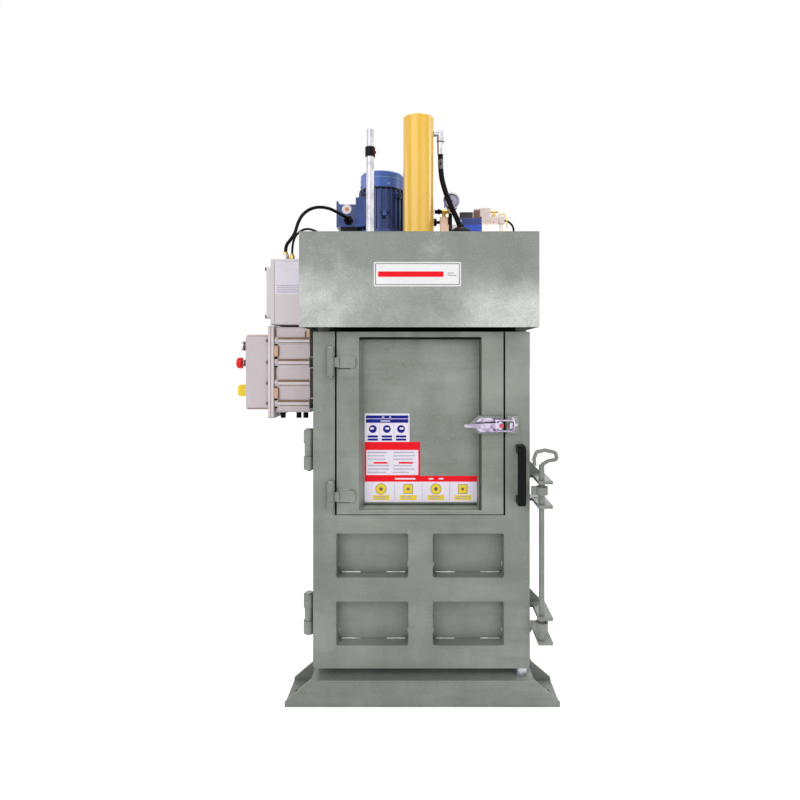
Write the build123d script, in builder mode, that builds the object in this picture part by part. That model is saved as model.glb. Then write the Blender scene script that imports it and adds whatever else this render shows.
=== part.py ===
from build123d import *

import os
from math import cos, pi, radians, sin, tan

# A small vertical hydraulic baler, in millimetres. X is right, Y is back, Z is up, the front faces -Y.
# The origin is on the floor, in the middle of the rectangle of the four floor bolt holes.

# Fits and clearances
pin_fit = 0.08
seat_gap = 0.3
swing_gap = 1.0

# Cross-feet
foot_floor_width = 880.0
foot_top_width = 714.0
foot_height = 86.0
foot_nose = 16.0
foot_depth = 152.0
foot_plate = 8.0
foot_front = -330.0
rest_inset = 26.0
rest_size = 40.0
floor_bolt_margin = 25.0
floor_bolt_inset = 78.0
floor_bolt_hole = 15.0

# Chamber walls
wall = 5.0
chamber_width = 620.0
chamber_front = -254.0
chamber_back = 240.0
wall_top = 1440.0
rib_depth = 30.0
rib_width = 60.0
rib_sheet = 4.0
base_sheet = 6.0
bearer_height = 20.0
bearer_width = 70.0
floor_sheet = 8.0
strap_groove_width = 18.0
strap_groove_depth = 4.0
strap_groove_spacing = 130.0
strap_grooves = 4
rear_ribs = 4

# Crosshead under the cylinder
crosshead_sheet = 18.0
crosshead_beam_height = 110.0
crosshead_beam_sheet = 10.0
crosshead_flange = 56.0
crosshead_beam_offset = 100.0

# Header shroud
header_left = -385.0
header_right = 365.0
header_front_face = -375.0
header_back_face = 330.0
header_bottom = 1212.0
header_top = 1511.0
header_sheet = 3.0
header_return = 110.0

# Main door
door_left = -352.0
door_right = 346.0
door_front = -315.0
door_bottom = 115.5
door_top = 1200.0
door_frame_depth = 50.0
door_sheet = 8.0
door_tube = 4.0
door_corner = 10.0
left_post = 70.0
right_post = 79.0
bottom_rail = 74.0
middle_rail_low = 331.0
middle_rail = 77.0
sill_rail = 59.0
mullion = 79.0
mullion_centre = -6.0
stop_lip = 15.0
recess_corner = 6.0

# Feed door
feed_gap = 6.0
feed_seam = 2.5
feed_sill = 609.0
feed_sheet = 4.0
feed_back_sheet = 4.0
feed_left_stile = 71.6
feed_right_stile = 70.0
feed_top_rail = 17.0
feed_bottom_rail = 12.0
feed_sink = 40.0
feed_lip = 10.0
feed_corner = 4.0

# Hinges
main_pin = 16.0
main_knuckle = 36.0
main_frame_knuckle = 30.0
main_hinge_x = -370.0
main_hinge_y = -286.0
main_hinge_heights = (282.0, 816.0)
main_hinge_height = 128.0
hinge_play = 0.4
pin_head = 24.0
pin_head_height = 5.0
feed_pin = 10.0
feed_knuckle = 24.0
feed_hinge_x = -293.0
feed_hinge_heights = (671.0, 1102.0)
feed_hinge_height = 90.0
feed_strap_height = 38.0
feed_strap_end = -215.0
feed_strap_sheet = 6.0

# Pull handle
handle_x = 314.0
handle_low = 647.0
handle_high = 838.0
handle_width = 26.0
handle_bar = 14.0
handle_standoff = 50.0
handle_foot = 26.0

# Toggle latch
latch_z = 901.0
latch_plate_height = 58.0
latch_plate_tip = 148.0
latch_plate_shoulder = 179.0
latch_plate_sheet = 8.0
latch_base_left = 170.0
latch_base_right = 258.0
latch_base_height = 46.0
latch_base_sheet = 4.0
latch_pivot_x = 246.0
latch_pivot_rise = 16.0
latch_pin = 6.0
latch_lever_width = 18.0
latch_lever_sheet = 4.0
latch_lever_length = 113.0
latch_ear_sheet = 4.0
latch_ear_rim = 5.0
latch_bolt_hex = 10.0
latch_hook_bar = 6.0
latch_hook_pin_offset = 12.0
latch_hook_end = 291.0
keeper_left = 270.0
keeper_right = 310.0
keeper_lug = 10.0

# Lock rod
lock_x = 380.0
lock_y = -335.0
lock_rod_size = 18.0
lock_collar = 20.0
lock_rod_low = 204.0
lock_rod_high = 776.0
lock_bracket_heights = (209.5, 640.0)
lock_bracket_pitch = 77.0
lock_bracket_sheet = 10.0
lock_bracket_right = 412.0
lock_bracket_left = 366.0
lock_bracket_front = -356.0
lock_bracket_back = -200.0
lock_gusset = 60.0
dog_height = 25.0
dog_rise = 31.0
dog_sheet = 16.0
dog_boss = 40.0
lock_loop_bar = 12.0
lock_loop_reach = 50.0
lock_loop_height = 46.0

# Ram and cylinder
platen_bottom = 1218.0
platen_sheet = 12.0
platen_gap = 10.0
platen_rib = 60.0
platen_rib_sheet = 8.0
rod_size = 45.0
piston_height = 35.0
cylinder_x = -15.0
cylinder_y = 0.0
cylinder_size = 115.0
cylinder_wall = 10.0
cylinder_top = 2012.0
cylinder_cap = 20.0
cylinder_flange = 190.0
cylinder_flange_sheet = 22.0
cylinder_bolt_circle = 155.0
cylinder_bolts = 8
cylinder_bolt = 14.0
cylinder_bolt_hex = 18.0
cylinder_port_drop = 57.0
end_gap = 5.0

# Power pack
tank_left = -285.0
tank_right = 330.0
tank_front = 66.0
tank_back = 322.0
tank_height = 88.0
tank_corner = 12.0
tank_sheet = 4.0
filler_inset = 45.0
filler_neck = 32.0
filler_neck_height = 10.0
filler_cap = 50.0
filler_cap_height = 32.0
motor_x = -162.0
motor_y = 165.0
motor_size = 188.0
motor_fin = 8.0
motor_fin_sheet = 5.0
motor_fins = 28
motor_body_height = 160.0
motor_flange_height = 14.0
cowl_size = 174.0
cowl_height = 68.0
cowl_sheet = 3.0
cowl_holes = 12
cowl_hole = 14.0
motor_shaft = 24.0
fan_size = 140.0
fan_height = 22.0
fan_blades = 8
terminal_left = -342.0
terminal_low = 1632.0
terminal_high = 1721.0
terminal_depth = 90.0

# Valves and gauge
manifold_left = 68.0
manifold_right = 318.0
manifold_front = 84.0
manifold_back = 160.0
manifold_height = 34.0
valve_y = 122.0
gauge_x = 110.0
gauge_y = 15.0
gauge_z = 1707.0
gauge_size = 63.0
gauge_depth = 30.0
gauge_bezel = 3.0

# Mast
mast_x = -186.0
mast_y = -115.0
mast_outer = 28.0
mast_inner = 24.5
mast_bore = 20.0
mast_inner_wall_gap = 0.2
mast_collar = 36.0
mast_collar_low = 1830.0
mast_collar_height = 34.0
mast_top = 1927.0
mast_hidden = 300.0
mast_foot = 60.0
mast_foot_height = 6.0

# Control boxes
upper_box_left = -520.0
upper_box_low = 1228.0
upper_box_high = 1455.0
upper_box_front = -195.0
upper_box_depth = 190.0
upper_lid = 22.0
upper_lid_inset = 24.0
lower_box_left = -506.0
lower_box_right = -385.0
lower_box_low = 928.0
lower_box_high = 1221.0
lower_box_front = -195.0
lower_box_depth = 190.0
box_flange = 10.0
box_flange_margin = 12.0
cover_left = -607.0
cover_low = 937.0
cover_high = 1195.0
cover_corner = 14.0
box_wall = 5.0
hinge_lug_heights = (995.0, 1138.0)
hinge_lug = 36.0
hinge_lug_width = 13.0
hinge_lug_rise = 10.0
corner_tab = 11.0
corner_tab_height = 35.0
box_rib = 4.0
box_rib_height = 23.0
box_rib_heights = (960.0, 1029.0, 1100.0, 1174.0)
box_rail = 40.0
box_rail_length = 220.0
button_y = -160.0
start_button_z = 1156.0
stop_button_z = 1097.0
selector_z = 1002.0
mushroom = 38.0
mushroom_height = 18.0
stop_reach = 38.0
selector_size = 41.0
selector_reach = 34.0
start_button_size = 26.0
button_travel = 4.0
stem_bore = 12.0
stem_depth = 20.0

# Heights and places that follow from the values above
foot_rear = -foot_front
floor_bolt_x = foot_floor_width / 2 - floor_bolt_margin
rest_x = door_right - rest_inset
cylinder_port_height = cylinder_top - cylinder_port_drop
chamber_half = chamber_width / 2
body_half = chamber_half + wall + rib_depth
body_back = chamber_back + wall + rib_depth
base_top = foot_height + base_sheet
floor_top = base_top + bearer_height + floor_sheet
crosshead_top = wall_top + crosshead_sheet
header_inside_top = header_top - header_sheet
door_back = door_front + door_frame_depth + door_sheet
sheet_front = door_front + door_frame_depth
feed_left = door_left + left_post + feed_gap
feed_right = door_right - right_post - feed_gap
feed_low = feed_sill + feed_seam
feed_hinge_y = door_front - feed_knuckle / 2
latch_face = door_front - latch_plate_sheet
latch_pivot_y = latch_face - latch_base_sheet - latch_pivot_rise
tank_low = header_top
tank_top = tank_low + tank_height
motor_low = tank_top + motor_flange_height
motor_top = motor_low + motor_body_height
manifold_top = tank_top + manifold_height
lower_box_y = (lower_box_front, lower_box_front + lower_box_depth)
flange_y = (lower_box_y[0] - box_flange_margin, lower_box_y[1] + box_flange_margin)
flange_low = cover_low - 2 * cover_corner
flange_high = lower_box_high + 3
body_flange = (lower_box_left - box_flange, lower_box_left)
cover_flange = (body_flange[0] - box_flange, body_flange[0])


def at_y(y):
    """Plane facing the front at y. A negative amount extrudes it towards the back."""
    return Plane.XZ.offset(-y)


def at_z(z):
    """Level plane at height z."""
    return Plane.XY.offset(z)


def at_x(x):
    """Plane facing right at x."""
    return Plane.YZ.offset(x)


def span(x, y, z, mode=Mode.ADD):
    """A block between two values on each axis, in the builder that calls it."""
    with Locations(((x[0] + x[1]) / 2, (y[0] + y[1]) / 2, (z[0] + z[1]) / 2)):
        return Box(x[1] - x[0], y[1] - y[0], z[1] - z[0], mode=mode)


def post(x, y, z, size, mode=Mode.ADD):
    """An upright round bar or bore of diameter size, between two heights."""
    with Locations((x, y, (z[0] + z[1]) / 2)):
        return Cylinder(size / 2, z[1] - z[0], mode=mode)


def bar_y(x, z, y, size, mode=Mode.ADD):
    """A round bar or bore along Y, between two values of y."""
    with Locations((x, (y[0] + y[1]) / 2, z)):
        return Cylinder(size / 2, y[1] - y[0], rotation=(90, 0, 0), mode=mode)


def bar_x(y, z, x, size, mode=Mode.ADD):
    """A round bar or bore along X, between two values of x."""
    with Locations(((x[0] + x[1]) / 2, y, z)):
        return Cylinder(size / 2, x[1] - x[0], rotation=(0, 90, 0), mode=mode)


def hexagon(across):
    """A hexagon of this size across its flats, in the sketch that calls it."""
    return RegularPolygon(across / 2, 6, major_radius=False)


def save(piece, label):
    """Name a finished piece and write it to its own file."""
    piece.part.label = label
    export_step(piece.part, f"parts/{label}.step")


# Frame


def cross_foot(front):
    """A welded cross-foot: front and rear trapezoid plates, a top plate and a drilled bottom plate."""
    outline = (
        (-foot_floor_width / 2, 0),
        (foot_floor_width / 2, 0),
        (foot_floor_width / 2, foot_nose),
        (foot_top_width / 2, foot_height),
        (-foot_top_width / 2, foot_height),
        (-foot_floor_width / 2, foot_nose),
    )
    back = front + foot_depth
    bolt_y = front + floor_bolt_inset if front < 0 else back - floor_bolt_inset
    with BuildPart() as piece:
        with BuildSketch(at_y(front), at_y(back - foot_plate)):
            Polygon(*outline)
        extrude(amount=-foot_plate)
        span((-foot_floor_width / 2, foot_floor_width / 2), (front, back), (0, foot_plate))
        span((-foot_top_width / 2, foot_top_width / 2), (front, back), (foot_height - foot_plate, foot_height))
        for side in (-1, 1):
            post(side * floor_bolt_x, bolt_y, (0, foot_plate), floor_bolt_hole, Mode.SUBTRACT)
    return piece


def side_wall(side, rail_heights=()):
    """A chamber side wall with three hat ribs outside, and level rails for the control boxes."""
    middle = side * (chamber_half + wall / 2)
    rib_middle = side * (chamber_half + wall + rib_depth / 2)
    rib_inside = side * (chamber_half + wall + (rib_depth - rib_sheet) / 2)
    length = chamber_back - chamber_front
    rib_places = [chamber_front + rib_width / 2 + step * (length - rib_width) / 2 for step in range(3)]
    with BuildPart() as piece:
        with BuildSketch(at_z(base_top)):
            with Locations((middle, chamber_front + length / 2)):
                Rectangle(wall, length)
            with Locations(*[(rib_middle, y) for y in rib_places]):
                Rectangle(rib_depth, rib_width)
            with Locations(*[(rib_inside, y) for y in rib_places]):
                Rectangle(rib_depth - rib_sheet, rib_width - 2 * rib_sheet, mode=Mode.SUBTRACT)
        extrude(amount=wall_top - base_top)
        for height in rail_heights:
            with BuildSketch(at_y(chamber_front + box_rail)):
                with Locations(((lower_box_right - body_half) / 2, height)):
                    RectangleRounded(-lower_box_right - body_half, box_rail, rib_sheet)
                    Rectangle(-lower_box_right - body_half - rib_sheet, box_rail - 2 * rib_sheet, mode=Mode.SUBTRACT)
            extrude(amount=-box_rail_length)
    return piece


front_foot = cross_foot(foot_front)
rear_foot = cross_foot(foot_rear - foot_depth)

with BuildPart() as door_rest:
    post(rest_x, door_front + door_frame_depth / 2, (foot_height, door_bottom - seat_gap), rest_size)
    fillet(door_rest.edges().group_by(Axis.Z)[-1], 3)

with BuildPart() as chamber_floor:
    span((-body_half, body_half), (chamber_front, body_back), (foot_height, base_top))
    floor_low = base_top + bearer_height
    for y in (chamber_front + bearer_width / 2, (chamber_front + chamber_back) / 2, chamber_back - bearer_width / 2):
        reach = (y - bearer_width / 2, y + bearer_width / 2)
        span((-chamber_half, chamber_half), reach, (base_top, floor_low))
        hollow = (reach[0] + rib_sheet, reach[1] - rib_sheet)
        span((-chamber_half, chamber_half), hollow, (base_top, floor_low - rib_sheet), Mode.SUBTRACT)
    span((-chamber_half, chamber_half), (chamber_front, chamber_back), (floor_low, floor_top))
    with BuildSketch(at_z(floor_top)):
        with GridLocations(strap_groove_spacing, 0, strap_grooves, 1):
            with Locations((0, (chamber_front + chamber_back) / 2)):
                Rectangle(strap_groove_width, chamber_back - chamber_front)
    extrude(amount=-strap_groove_depth, mode=Mode.SUBTRACT)

left_side_wall = side_wall(-1, (box_rib_heights[0], box_rib_heights[2]))
right_side_wall = side_wall(1)

rear_half = chamber_half + wall
rear_rib_pitch = (wall_top - base_top - rib_width) / (rear_ribs - 1)
with BuildPart() as rear_wall:
    span((-rear_half, rear_half), (chamber_back, chamber_back + wall), (base_top, wall_top))
    with BuildSketch(at_x(-rear_half)):
        for step in range(rear_ribs):
            height = base_top + rib_width / 2 + step * rear_rib_pitch
            with Locations((chamber_back + wall + rib_depth / 2, height)):
                Rectangle(rib_depth, rib_width)
            with Locations((chamber_back + wall + (rib_depth - rib_sheet) / 2, height)):
                Rectangle(rib_depth - rib_sheet, rib_width - 2 * rib_sheet, mode=Mode.SUBTRACT)
    extrude(amount=2 * rear_half)

with BuildPart() as crosshead:
    span((-body_half, body_half), (chamber_front, body_back), (wall_top, crosshead_top))
    for side in (-1, 1):
        web = cylinder_y + side * crosshead_beam_offset
        span(
            (-chamber_half, chamber_half),
            (web - crosshead_beam_sheet / 2, web + crosshead_beam_sheet / 2),
            (wall_top - crosshead_beam_height, wall_top),
        )
        span(
            (-chamber_half, chamber_half),
            (web - crosshead_flange / 2, web + crosshead_flange / 2),
            (wall_top - crosshead_beam_height, wall_top - crosshead_beam_height + crosshead_beam_sheet),
        )
    post(cylinder_x, cylinder_y, (wall_top, crosshead_top), rod_size + 4 * seat_gap, Mode.SUBTRACT)
    with Locations((cylinder_x, cylinder_y, (wall_top + crosshead_top) / 2)):
        with PolarLocations(cylinder_bolt_circle / 2, cylinder_bolts):
            Cylinder(cylinder_bolt / 2, crosshead_sheet, mode=Mode.SUBTRACT)

with BuildPart() as header_front:
    return_back = header_front_face + header_return
    span((header_left, header_right), (header_front_face, return_back), (header_bottom, header_inside_top))
    inside = (header_left + header_sheet, header_right - header_sheet)
    inside_front = header_front_face + header_sheet
    span(inside, (inside_front, return_back), (header_bottom, header_inside_top), Mode.SUBTRACT)

with BuildPart() as header_wrap:
    span((header_left, header_right), (return_back, header_back_face), (header_bottom, header_inside_top))
    span(inside, (return_back, header_back_face - header_sheet), (header_bottom, header_inside_top), Mode.SUBTRACT)

header_hole = cylinder_size + 10
with BuildPart() as header_top_plate:
    span((header_left, header_right), (header_front_face, header_back_face), (header_inside_top, header_top))
    post(cylinder_x, cylinder_y, (header_inside_top, header_top), header_hole, Mode.SUBTRACT)

def hinge_heights(centre, height):
    """Lower, middle and upper knuckle heights of a three-knuckle hinge."""
    third = height / 3
    low = centre - height / 2
    return (
        (low, low + third - hinge_play),
        (low + third, low + 2 * third),
        (low + 2 * third + hinge_play, low + height),
    )


with BuildPart() as hinge_brackets:
    for centre in main_hinge_heights:
        low, high = hinge_heights(centre, main_hinge_height)[1]
        left = main_hinge_x - main_frame_knuckle / 2
        with BuildSketch(at_z(low)):
            with Locations((main_hinge_x, main_hinge_y)):
                Circle(main_frame_knuckle / 2)
            Polygon(
                (left, main_hinge_y),
                (left, chamber_front + rib_width),
                (-body_half, chamber_front + rib_width),
                (-body_half, chamber_front + swing_gap),
                (main_hinge_x + main_frame_knuckle / 2 - swing_gap, chamber_front + swing_gap),
                (main_hinge_x + main_frame_knuckle / 2 - swing_gap, main_hinge_y),
            )
        extrude(amount=high - low)
        post(main_hinge_x, main_hinge_y, (low, high), main_pin + 2 * pin_fit, Mode.SUBTRACT)

bracket_plate = (
    (lock_bracket_left, lock_bracket_front),
    (lock_bracket_right, lock_bracket_front),
    (lock_bracket_right, lock_bracket_back),
    (body_half, lock_bracket_back),
    (body_half, chamber_front + swing_gap),
    (lock_bracket_left, chamber_front + swing_gap),
)
gusset_y = (chamber_front + lock_bracket_back) / 2
with BuildPart() as lock_brackets:
    for low in lock_bracket_heights:
        with BuildSketch(at_z(low), at_z(low + lock_bracket_pitch)):
            Polygon(*bracket_plate)
            with Locations((lock_x, lock_y)):
                Circle(lock_rod_size / 2 + pin_fit, mode=Mode.SUBTRACT)
        extrude(amount=lock_bracket_sheet)
        gusset_low = low + lock_bracket_pitch + lock_bracket_sheet
        with BuildSketch(at_y(gusset_y)):
            Polygon(
                (body_half, gusset_low),
                (lock_bracket_right - lock_bracket_sheet, gusset_low),
                (body_half, gusset_low + lock_gusset),
            )
        extrude(amount=-lock_bracket_sheet)

# Main door

post_right = door_left + left_post
grid_right = door_right - right_post


def door_post(x, outer):
    """A hollow door post, closed at the foot, with its outer bottom corner rounded."""
    with BuildPart() as piece:
        with BuildSketch(at_y(door_front)):
            with Locations(((x[0] + x[1]) / 2, (door_bottom + door_top) / 2)):
                Rectangle(x[1] - x[0], door_top - door_bottom)
            corner = [v for v in vertices() if abs(v.X - outer) < door_tube and v.Y < door_bottom + door_tube]
            fillet(corner, door_corner)
        extrude(amount=-door_frame_depth)
        span(
            (x[0] + door_tube, x[1] - door_tube),
            (door_front + door_tube, sheet_front - door_tube),
            (door_bottom + door_tube, door_top),
            Mode.SUBTRACT,
        )
    return piece


door_left_post = door_post((door_left, post_right), door_left)
door_right_post = door_post((grid_right, door_right), door_right)

recess_columns = (
    (post_right + door_tube, mullion_centre - mullion / 2),
    (mullion_centre + mullion / 2, grid_right - door_tube),
)
recess_rows = (
    (door_bottom + bottom_rail, middle_rail_low),
    (middle_rail_low + middle_rail, feed_sill - sill_rail),
)
recesses = [(column, row) for column in recess_columns for row in recess_rows]
with BuildPart() as door_grid:
    span((post_right, grid_right), (door_front, sheet_front), (door_bottom, feed_sill))
    with BuildSketch(at_y(door_front)):
        for column, row in recesses:
            with Locations(((column[0] + column[1]) / 2, (row[0] + row[1]) / 2)):
                RectangleRounded(column[1] - column[0], row[1] - row[0], recess_corner)
    extrude(amount=-door_frame_depth, mode=Mode.SUBTRACT)
    with BuildSketch(at_y(door_front + door_tube)):
        with Locations(((post_right + grid_right) / 2, (door_bottom + feed_sill) / 2)):
            Rectangle(grid_right - post_right, feed_sill - door_bottom - 2 * door_tube)
        for column, row in recesses:
            with Locations(((column[0] + column[1]) / 2, (row[0] + row[1]) / 2)):
                Rectangle(column[1] - column[0] + 2 * door_tube, row[1] - row[0] + 2 * door_tube, mode=Mode.SUBTRACT)
    extrude(amount=door_tube - door_frame_depth, mode=Mode.SUBTRACT)

with BuildPart() as door_back_sheet:
    with BuildSketch(at_y(sheet_front)):
        with Locations(((door_left + door_right) / 2, (door_bottom + door_top) / 2)):
            RectangleRounded(door_right - door_left - door_corner, door_top - door_bottom, door_corner)
        Polygon(
            (post_right + stop_lip, feed_sill + stop_lip),
            (grid_right - stop_lip, feed_sill + stop_lip),
            (grid_right - stop_lip, door_top + door_corner),
            (post_right + stop_lip, door_top + door_corner),
            mode=Mode.SUBTRACT,
        )
    extrude(amount=-door_sheet)

with BuildPart() as door_knuckles:
    for centre in main_hinge_heights:
        for low, high in hinge_heights(centre, main_hinge_height)[::2]:
            post(main_hinge_x, main_hinge_y, (low, high), main_knuckle)
            half = main_pin / 2
            span((main_hinge_x, door_left), (main_hinge_y - half, main_hinge_y + half), (low, high))
            post(main_hinge_x, main_hinge_y, (low, high), main_pin + 2 * pin_fit, Mode.SUBTRACT)
    for centre in feed_hinge_heights:
        for low, high in hinge_heights(centre, feed_hinge_height)[::2]:
            post(feed_hinge_x, feed_hinge_y, (low, high), feed_knuckle)
            half = feed_pin
            span((feed_hinge_x - half, feed_hinge_x + half), (feed_hinge_y, door_front), (low, high))
            post(feed_hinge_x, feed_hinge_y, (low, high), feed_pin + 2 * pin_fit, Mode.SUBTRACT)

with BuildPart() as hinge_pins:
    for x, y, size, heights, height in (
        (main_hinge_x, main_hinge_y, main_pin, main_hinge_heights, main_hinge_height),
        (feed_hinge_x, feed_hinge_y, feed_pin, feed_hinge_heights, feed_hinge_height),
    ):
        for centre in heights:
            top = centre + height / 2
            post(x, y, (centre - height / 2 - pin_head_height, top), size)
            post(x, y, (top, top + pin_head_height), size + pin_head - main_pin)

with BuildPart() as pull_handle:
    handle_front = door_front - handle_standoff
    handle_middle = (door_front + handle_front) / 2
    with BuildSketch(at_x(handle_x - handle_width / 2)):
        with Locations((handle_middle, (handle_low + handle_high) / 2)):
            Rectangle(handle_standoff, handle_high - handle_low)
        fillet(vertices().group_by(Axis.X)[0], handle_bar)
    extrude(amount=handle_width)
    with BuildSketch(at_x(handle_x - handle_width / 2)):
        with Locations((handle_middle + handle_bar / 2, (handle_low + handle_high) / 2)):
            RectangleRounded(handle_standoff - handle_bar, handle_high - handle_low - 2 * handle_foot, handle_bar / 2)
        with Locations((door_front - handle_bar / 2, (handle_low + handle_high) / 2)):
            Rectangle(handle_bar, handle_high - handle_low - 2 * handle_foot)
    extrude(amount=handle_width, mode=Mode.SUBTRACT)
    fillet(pull_handle.edges().filter_by(Axis.Z).group_by(Axis.Y)[0], handle_bar / 3)

hook_y = latch_pivot_y - latch_hook_bar
keeper_middle = (keeper_left + keeper_right) / 2
hook_gap = 2.0
with BuildPart() as latch_keeper:
    half = latch_plate_height / 2
    span((keeper_left, keeper_right), (latch_face, door_front), (latch_z - half, latch_z + half))
    fillet(latch_keeper.edges().filter_by(Axis.Y), latch_lever_sheet)
    lug_right = latch_hook_end - latch_hook_bar / 2 - hook_gap
    lug = latch_lever_width / 2
    span((lug_right - keeper_lug, lug_right), (hook_y, latch_face), (latch_z - lug, latch_z + lug))
    fillet(latch_keeper.edges().filter_by(Axis.Z).group_by(Axis.Y)[0], keeper_lug / 4)
    with BuildSketch(at_y(latch_face)):
        with Locations((keeper_middle, latch_z)):
            with GridLocations(0, latch_plate_height - 2 * keeper_lug, 1, 2):
                hexagon(latch_bolt_hex)
        with Locations((keeper_right - keeper_lug, latch_z)):
            hexagon(latch_bolt_hex)
    extrude(amount=latch_lever_sheet)

# Feed door


def pan_pocket(margin, depth):
    """The sunk panel's front and bottom outlines, grown by margin."""
    left = feed_left + feed_left_stile - margin
    right = feed_right - feed_right_stile + margin
    low = feed_low + feed_bottom_rail - margin
    high = door_top - feed_top_rail + margin
    return (
        (door_front, (left, right, low, high)),
        (door_front + depth, (left + feed_lip, right - feed_lip, low + feed_lip, high - feed_lip)),
    )


with BuildPart() as feed_door_pan:
    span((feed_left, feed_right), (door_front, door_front + feed_sink + feed_sheet), (feed_low, door_top))
    span(
        (feed_left + feed_sheet, feed_right - feed_sheet),
        (door_front + feed_sheet, door_front + feed_sink + feed_sheet),
        (feed_low + feed_sheet, door_top - feed_sheet),
        Mode.SUBTRACT,
    )
    for y, (left, right, low, high) in pan_pocket(feed_sheet, feed_sink + feed_sheet):
        with BuildSketch(at_y(y)):
            with Locations(((left + right) / 2, (low + high) / 2)):
                RectangleRounded(right - left, high - low, feed_corner + feed_sheet)
    loft()
    for y, (left, right, low, high) in pan_pocket(0, feed_sink):
        with BuildSketch(at_y(y)):
            with Locations(((left + right) / 2, (low + high) / 2)):
                RectangleRounded(right - left, high - low, feed_corner)
    loft(mode=Mode.SUBTRACT)
    with BuildSketch(at_y(door_front)):
        Polygon(
            (latch_plate_tip, latch_z),
            (latch_plate_shoulder, latch_z - latch_plate_height / 2),
            (feed_right - swing_gap, latch_z - latch_plate_height / 2),
            (feed_right - swing_gap, latch_z + latch_plate_height / 2),
            (latch_plate_shoulder, latch_z + latch_plate_height / 2),
        )
    extrude(amount=latch_plate_sheet)

with BuildPart() as feed_door_back_sheet:
    back_y = door_front + feed_sink + feed_sheet
    span((feed_left, feed_right), (back_y, back_y + feed_back_sheet), (feed_low, door_top))

with BuildPart() as feed_hinge_straps:
    for centre in feed_hinge_heights:
        low, high = hinge_heights(centre, feed_hinge_height)[1]
        post(feed_hinge_x, feed_hinge_y, (low, high), feed_knuckle - swing_gap)
        strap = feed_strap_height / 2
        with BuildSketch(at_y(door_front)):
            with Locations(((feed_left + feed_strap_end) / 2, centre)):
                RectangleRounded(feed_strap_end - feed_left, feed_strap_height, strap / 2)
            with Locations((feed_left + strap / 2, centre)):
                Rectangle(strap, feed_strap_height)
        extrude(amount=feed_strap_sheet)
        span((feed_hinge_x, feed_left + strap / 2), (feed_hinge_y, door_front - swing_gap), (low, high))
        post(feed_hinge_x, feed_hinge_y, (low, high), feed_pin + 2 * pin_fit, Mode.SUBTRACT)

ear_low = latch_lever_width / 2 + seat_gap
ear_high = ear_low + latch_ear_sheet
ear_half = latch_pin / 2 + latch_ear_rim
base_face = latch_face - latch_base_sheet
with BuildPart() as latch_base:
    with BuildSketch(at_y(latch_face)):
        with Locations(((latch_base_left + latch_base_right) / 2, latch_z)):
            SlotOverall(latch_base_right - latch_base_left, latch_base_height)
    extrude(amount=latch_base_sheet)
    with BuildSketch(at_z(latch_z + ear_low), at_z(latch_z - ear_high)):
        with Locations((latch_pivot_x, latch_pivot_y)):
            Circle(ear_half)
        with Locations((latch_pivot_x, (latch_pivot_y + base_face) / 2)):
            Rectangle(2 * ear_half, base_face - latch_pivot_y)
    extrude(amount=latch_ear_sheet)
    pin_reach = ear_high + seat_gap
    post(latch_pivot_x, latch_pivot_y, (latch_z - pin_reach, latch_z + pin_reach), latch_pin)
    with BuildSketch(at_y(base_face)):
        with Locations((latch_base_left + latch_base_height / 2, latch_z)):
            with GridLocations(0, latch_base_height / 2, 1, 2):
                hexagon(latch_bolt_hex)
    extrude(amount=latch_lever_sheet)

hook_pin_x = latch_pivot_x - latch_hook_pin_offset
hook_bar_z = ear_high + seat_gap * 2 + latch_hook_bar / 2
hook_pin = latch_hook_bar - 1
lever_tip = latch_pivot_x - latch_lever_length
with BuildPart() as latch_lever:
    half = latch_lever_width / 2
    post(latch_pivot_x, latch_pivot_y, (latch_z - half, latch_z + half), 2 * ear_half - swing_gap)
    with BuildSketch(at_y(hook_y + latch_lever_sheet / 2)):
        Polygon(
            (latch_pivot_x, latch_z - half),
            (latch_pivot_x, latch_z + half),
            (hook_pin_x, latch_z + half),
            (lever_tip, latch_z + half / 2),
            (lever_tip, latch_z - half / 2),
            (hook_pin_x, latch_z - half),
        )
        fillet(vertices().group_by(Axis.X)[0], half / 3)
    extrude(amount=latch_lever_sheet)
    post(latch_pivot_x, latch_pivot_y, (latch_z - half, latch_z + half), latch_pin + 2 * pin_fit, Mode.SUBTRACT)
    hook_pin_reach = hook_bar_z + latch_hook_bar / 2
    post(hook_pin_x, hook_y, (latch_z - hook_pin_reach, latch_z + hook_pin_reach), hook_pin)

with BuildPart() as latch_hook:
    with BuildLine() as hook_path:
        FilletPolyline(
            (hook_pin_x + latch_hook_bar / 2, hook_y, latch_z - hook_bar_z),
            (latch_hook_end, hook_y, latch_z - hook_bar_z),
            (latch_hook_end, hook_y, latch_z + hook_bar_z),
            (hook_pin_x + latch_hook_bar / 2, hook_y, latch_z + hook_bar_z),
            radius=latch_hook_bar,
        )
    with BuildSketch(Plane(hook_path.wire() @ 0, z_dir=hook_path.wire() % 0)):
        Circle(latch_hook_bar / 2)
    sweep(path=hook_path.wire())
    for side in (-1, 1):
        middle = latch_z + side * hook_bar_z
        eye = (middle - latch_hook_bar / 2, middle + latch_hook_bar / 2)
        post(hook_pin_x, hook_y, eye, 2 * latch_hook_bar)
        post(hook_pin_x, hook_y, eye, hook_pin + 2 * pin_fit, Mode.SUBTRACT)

# Lock rod

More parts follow.
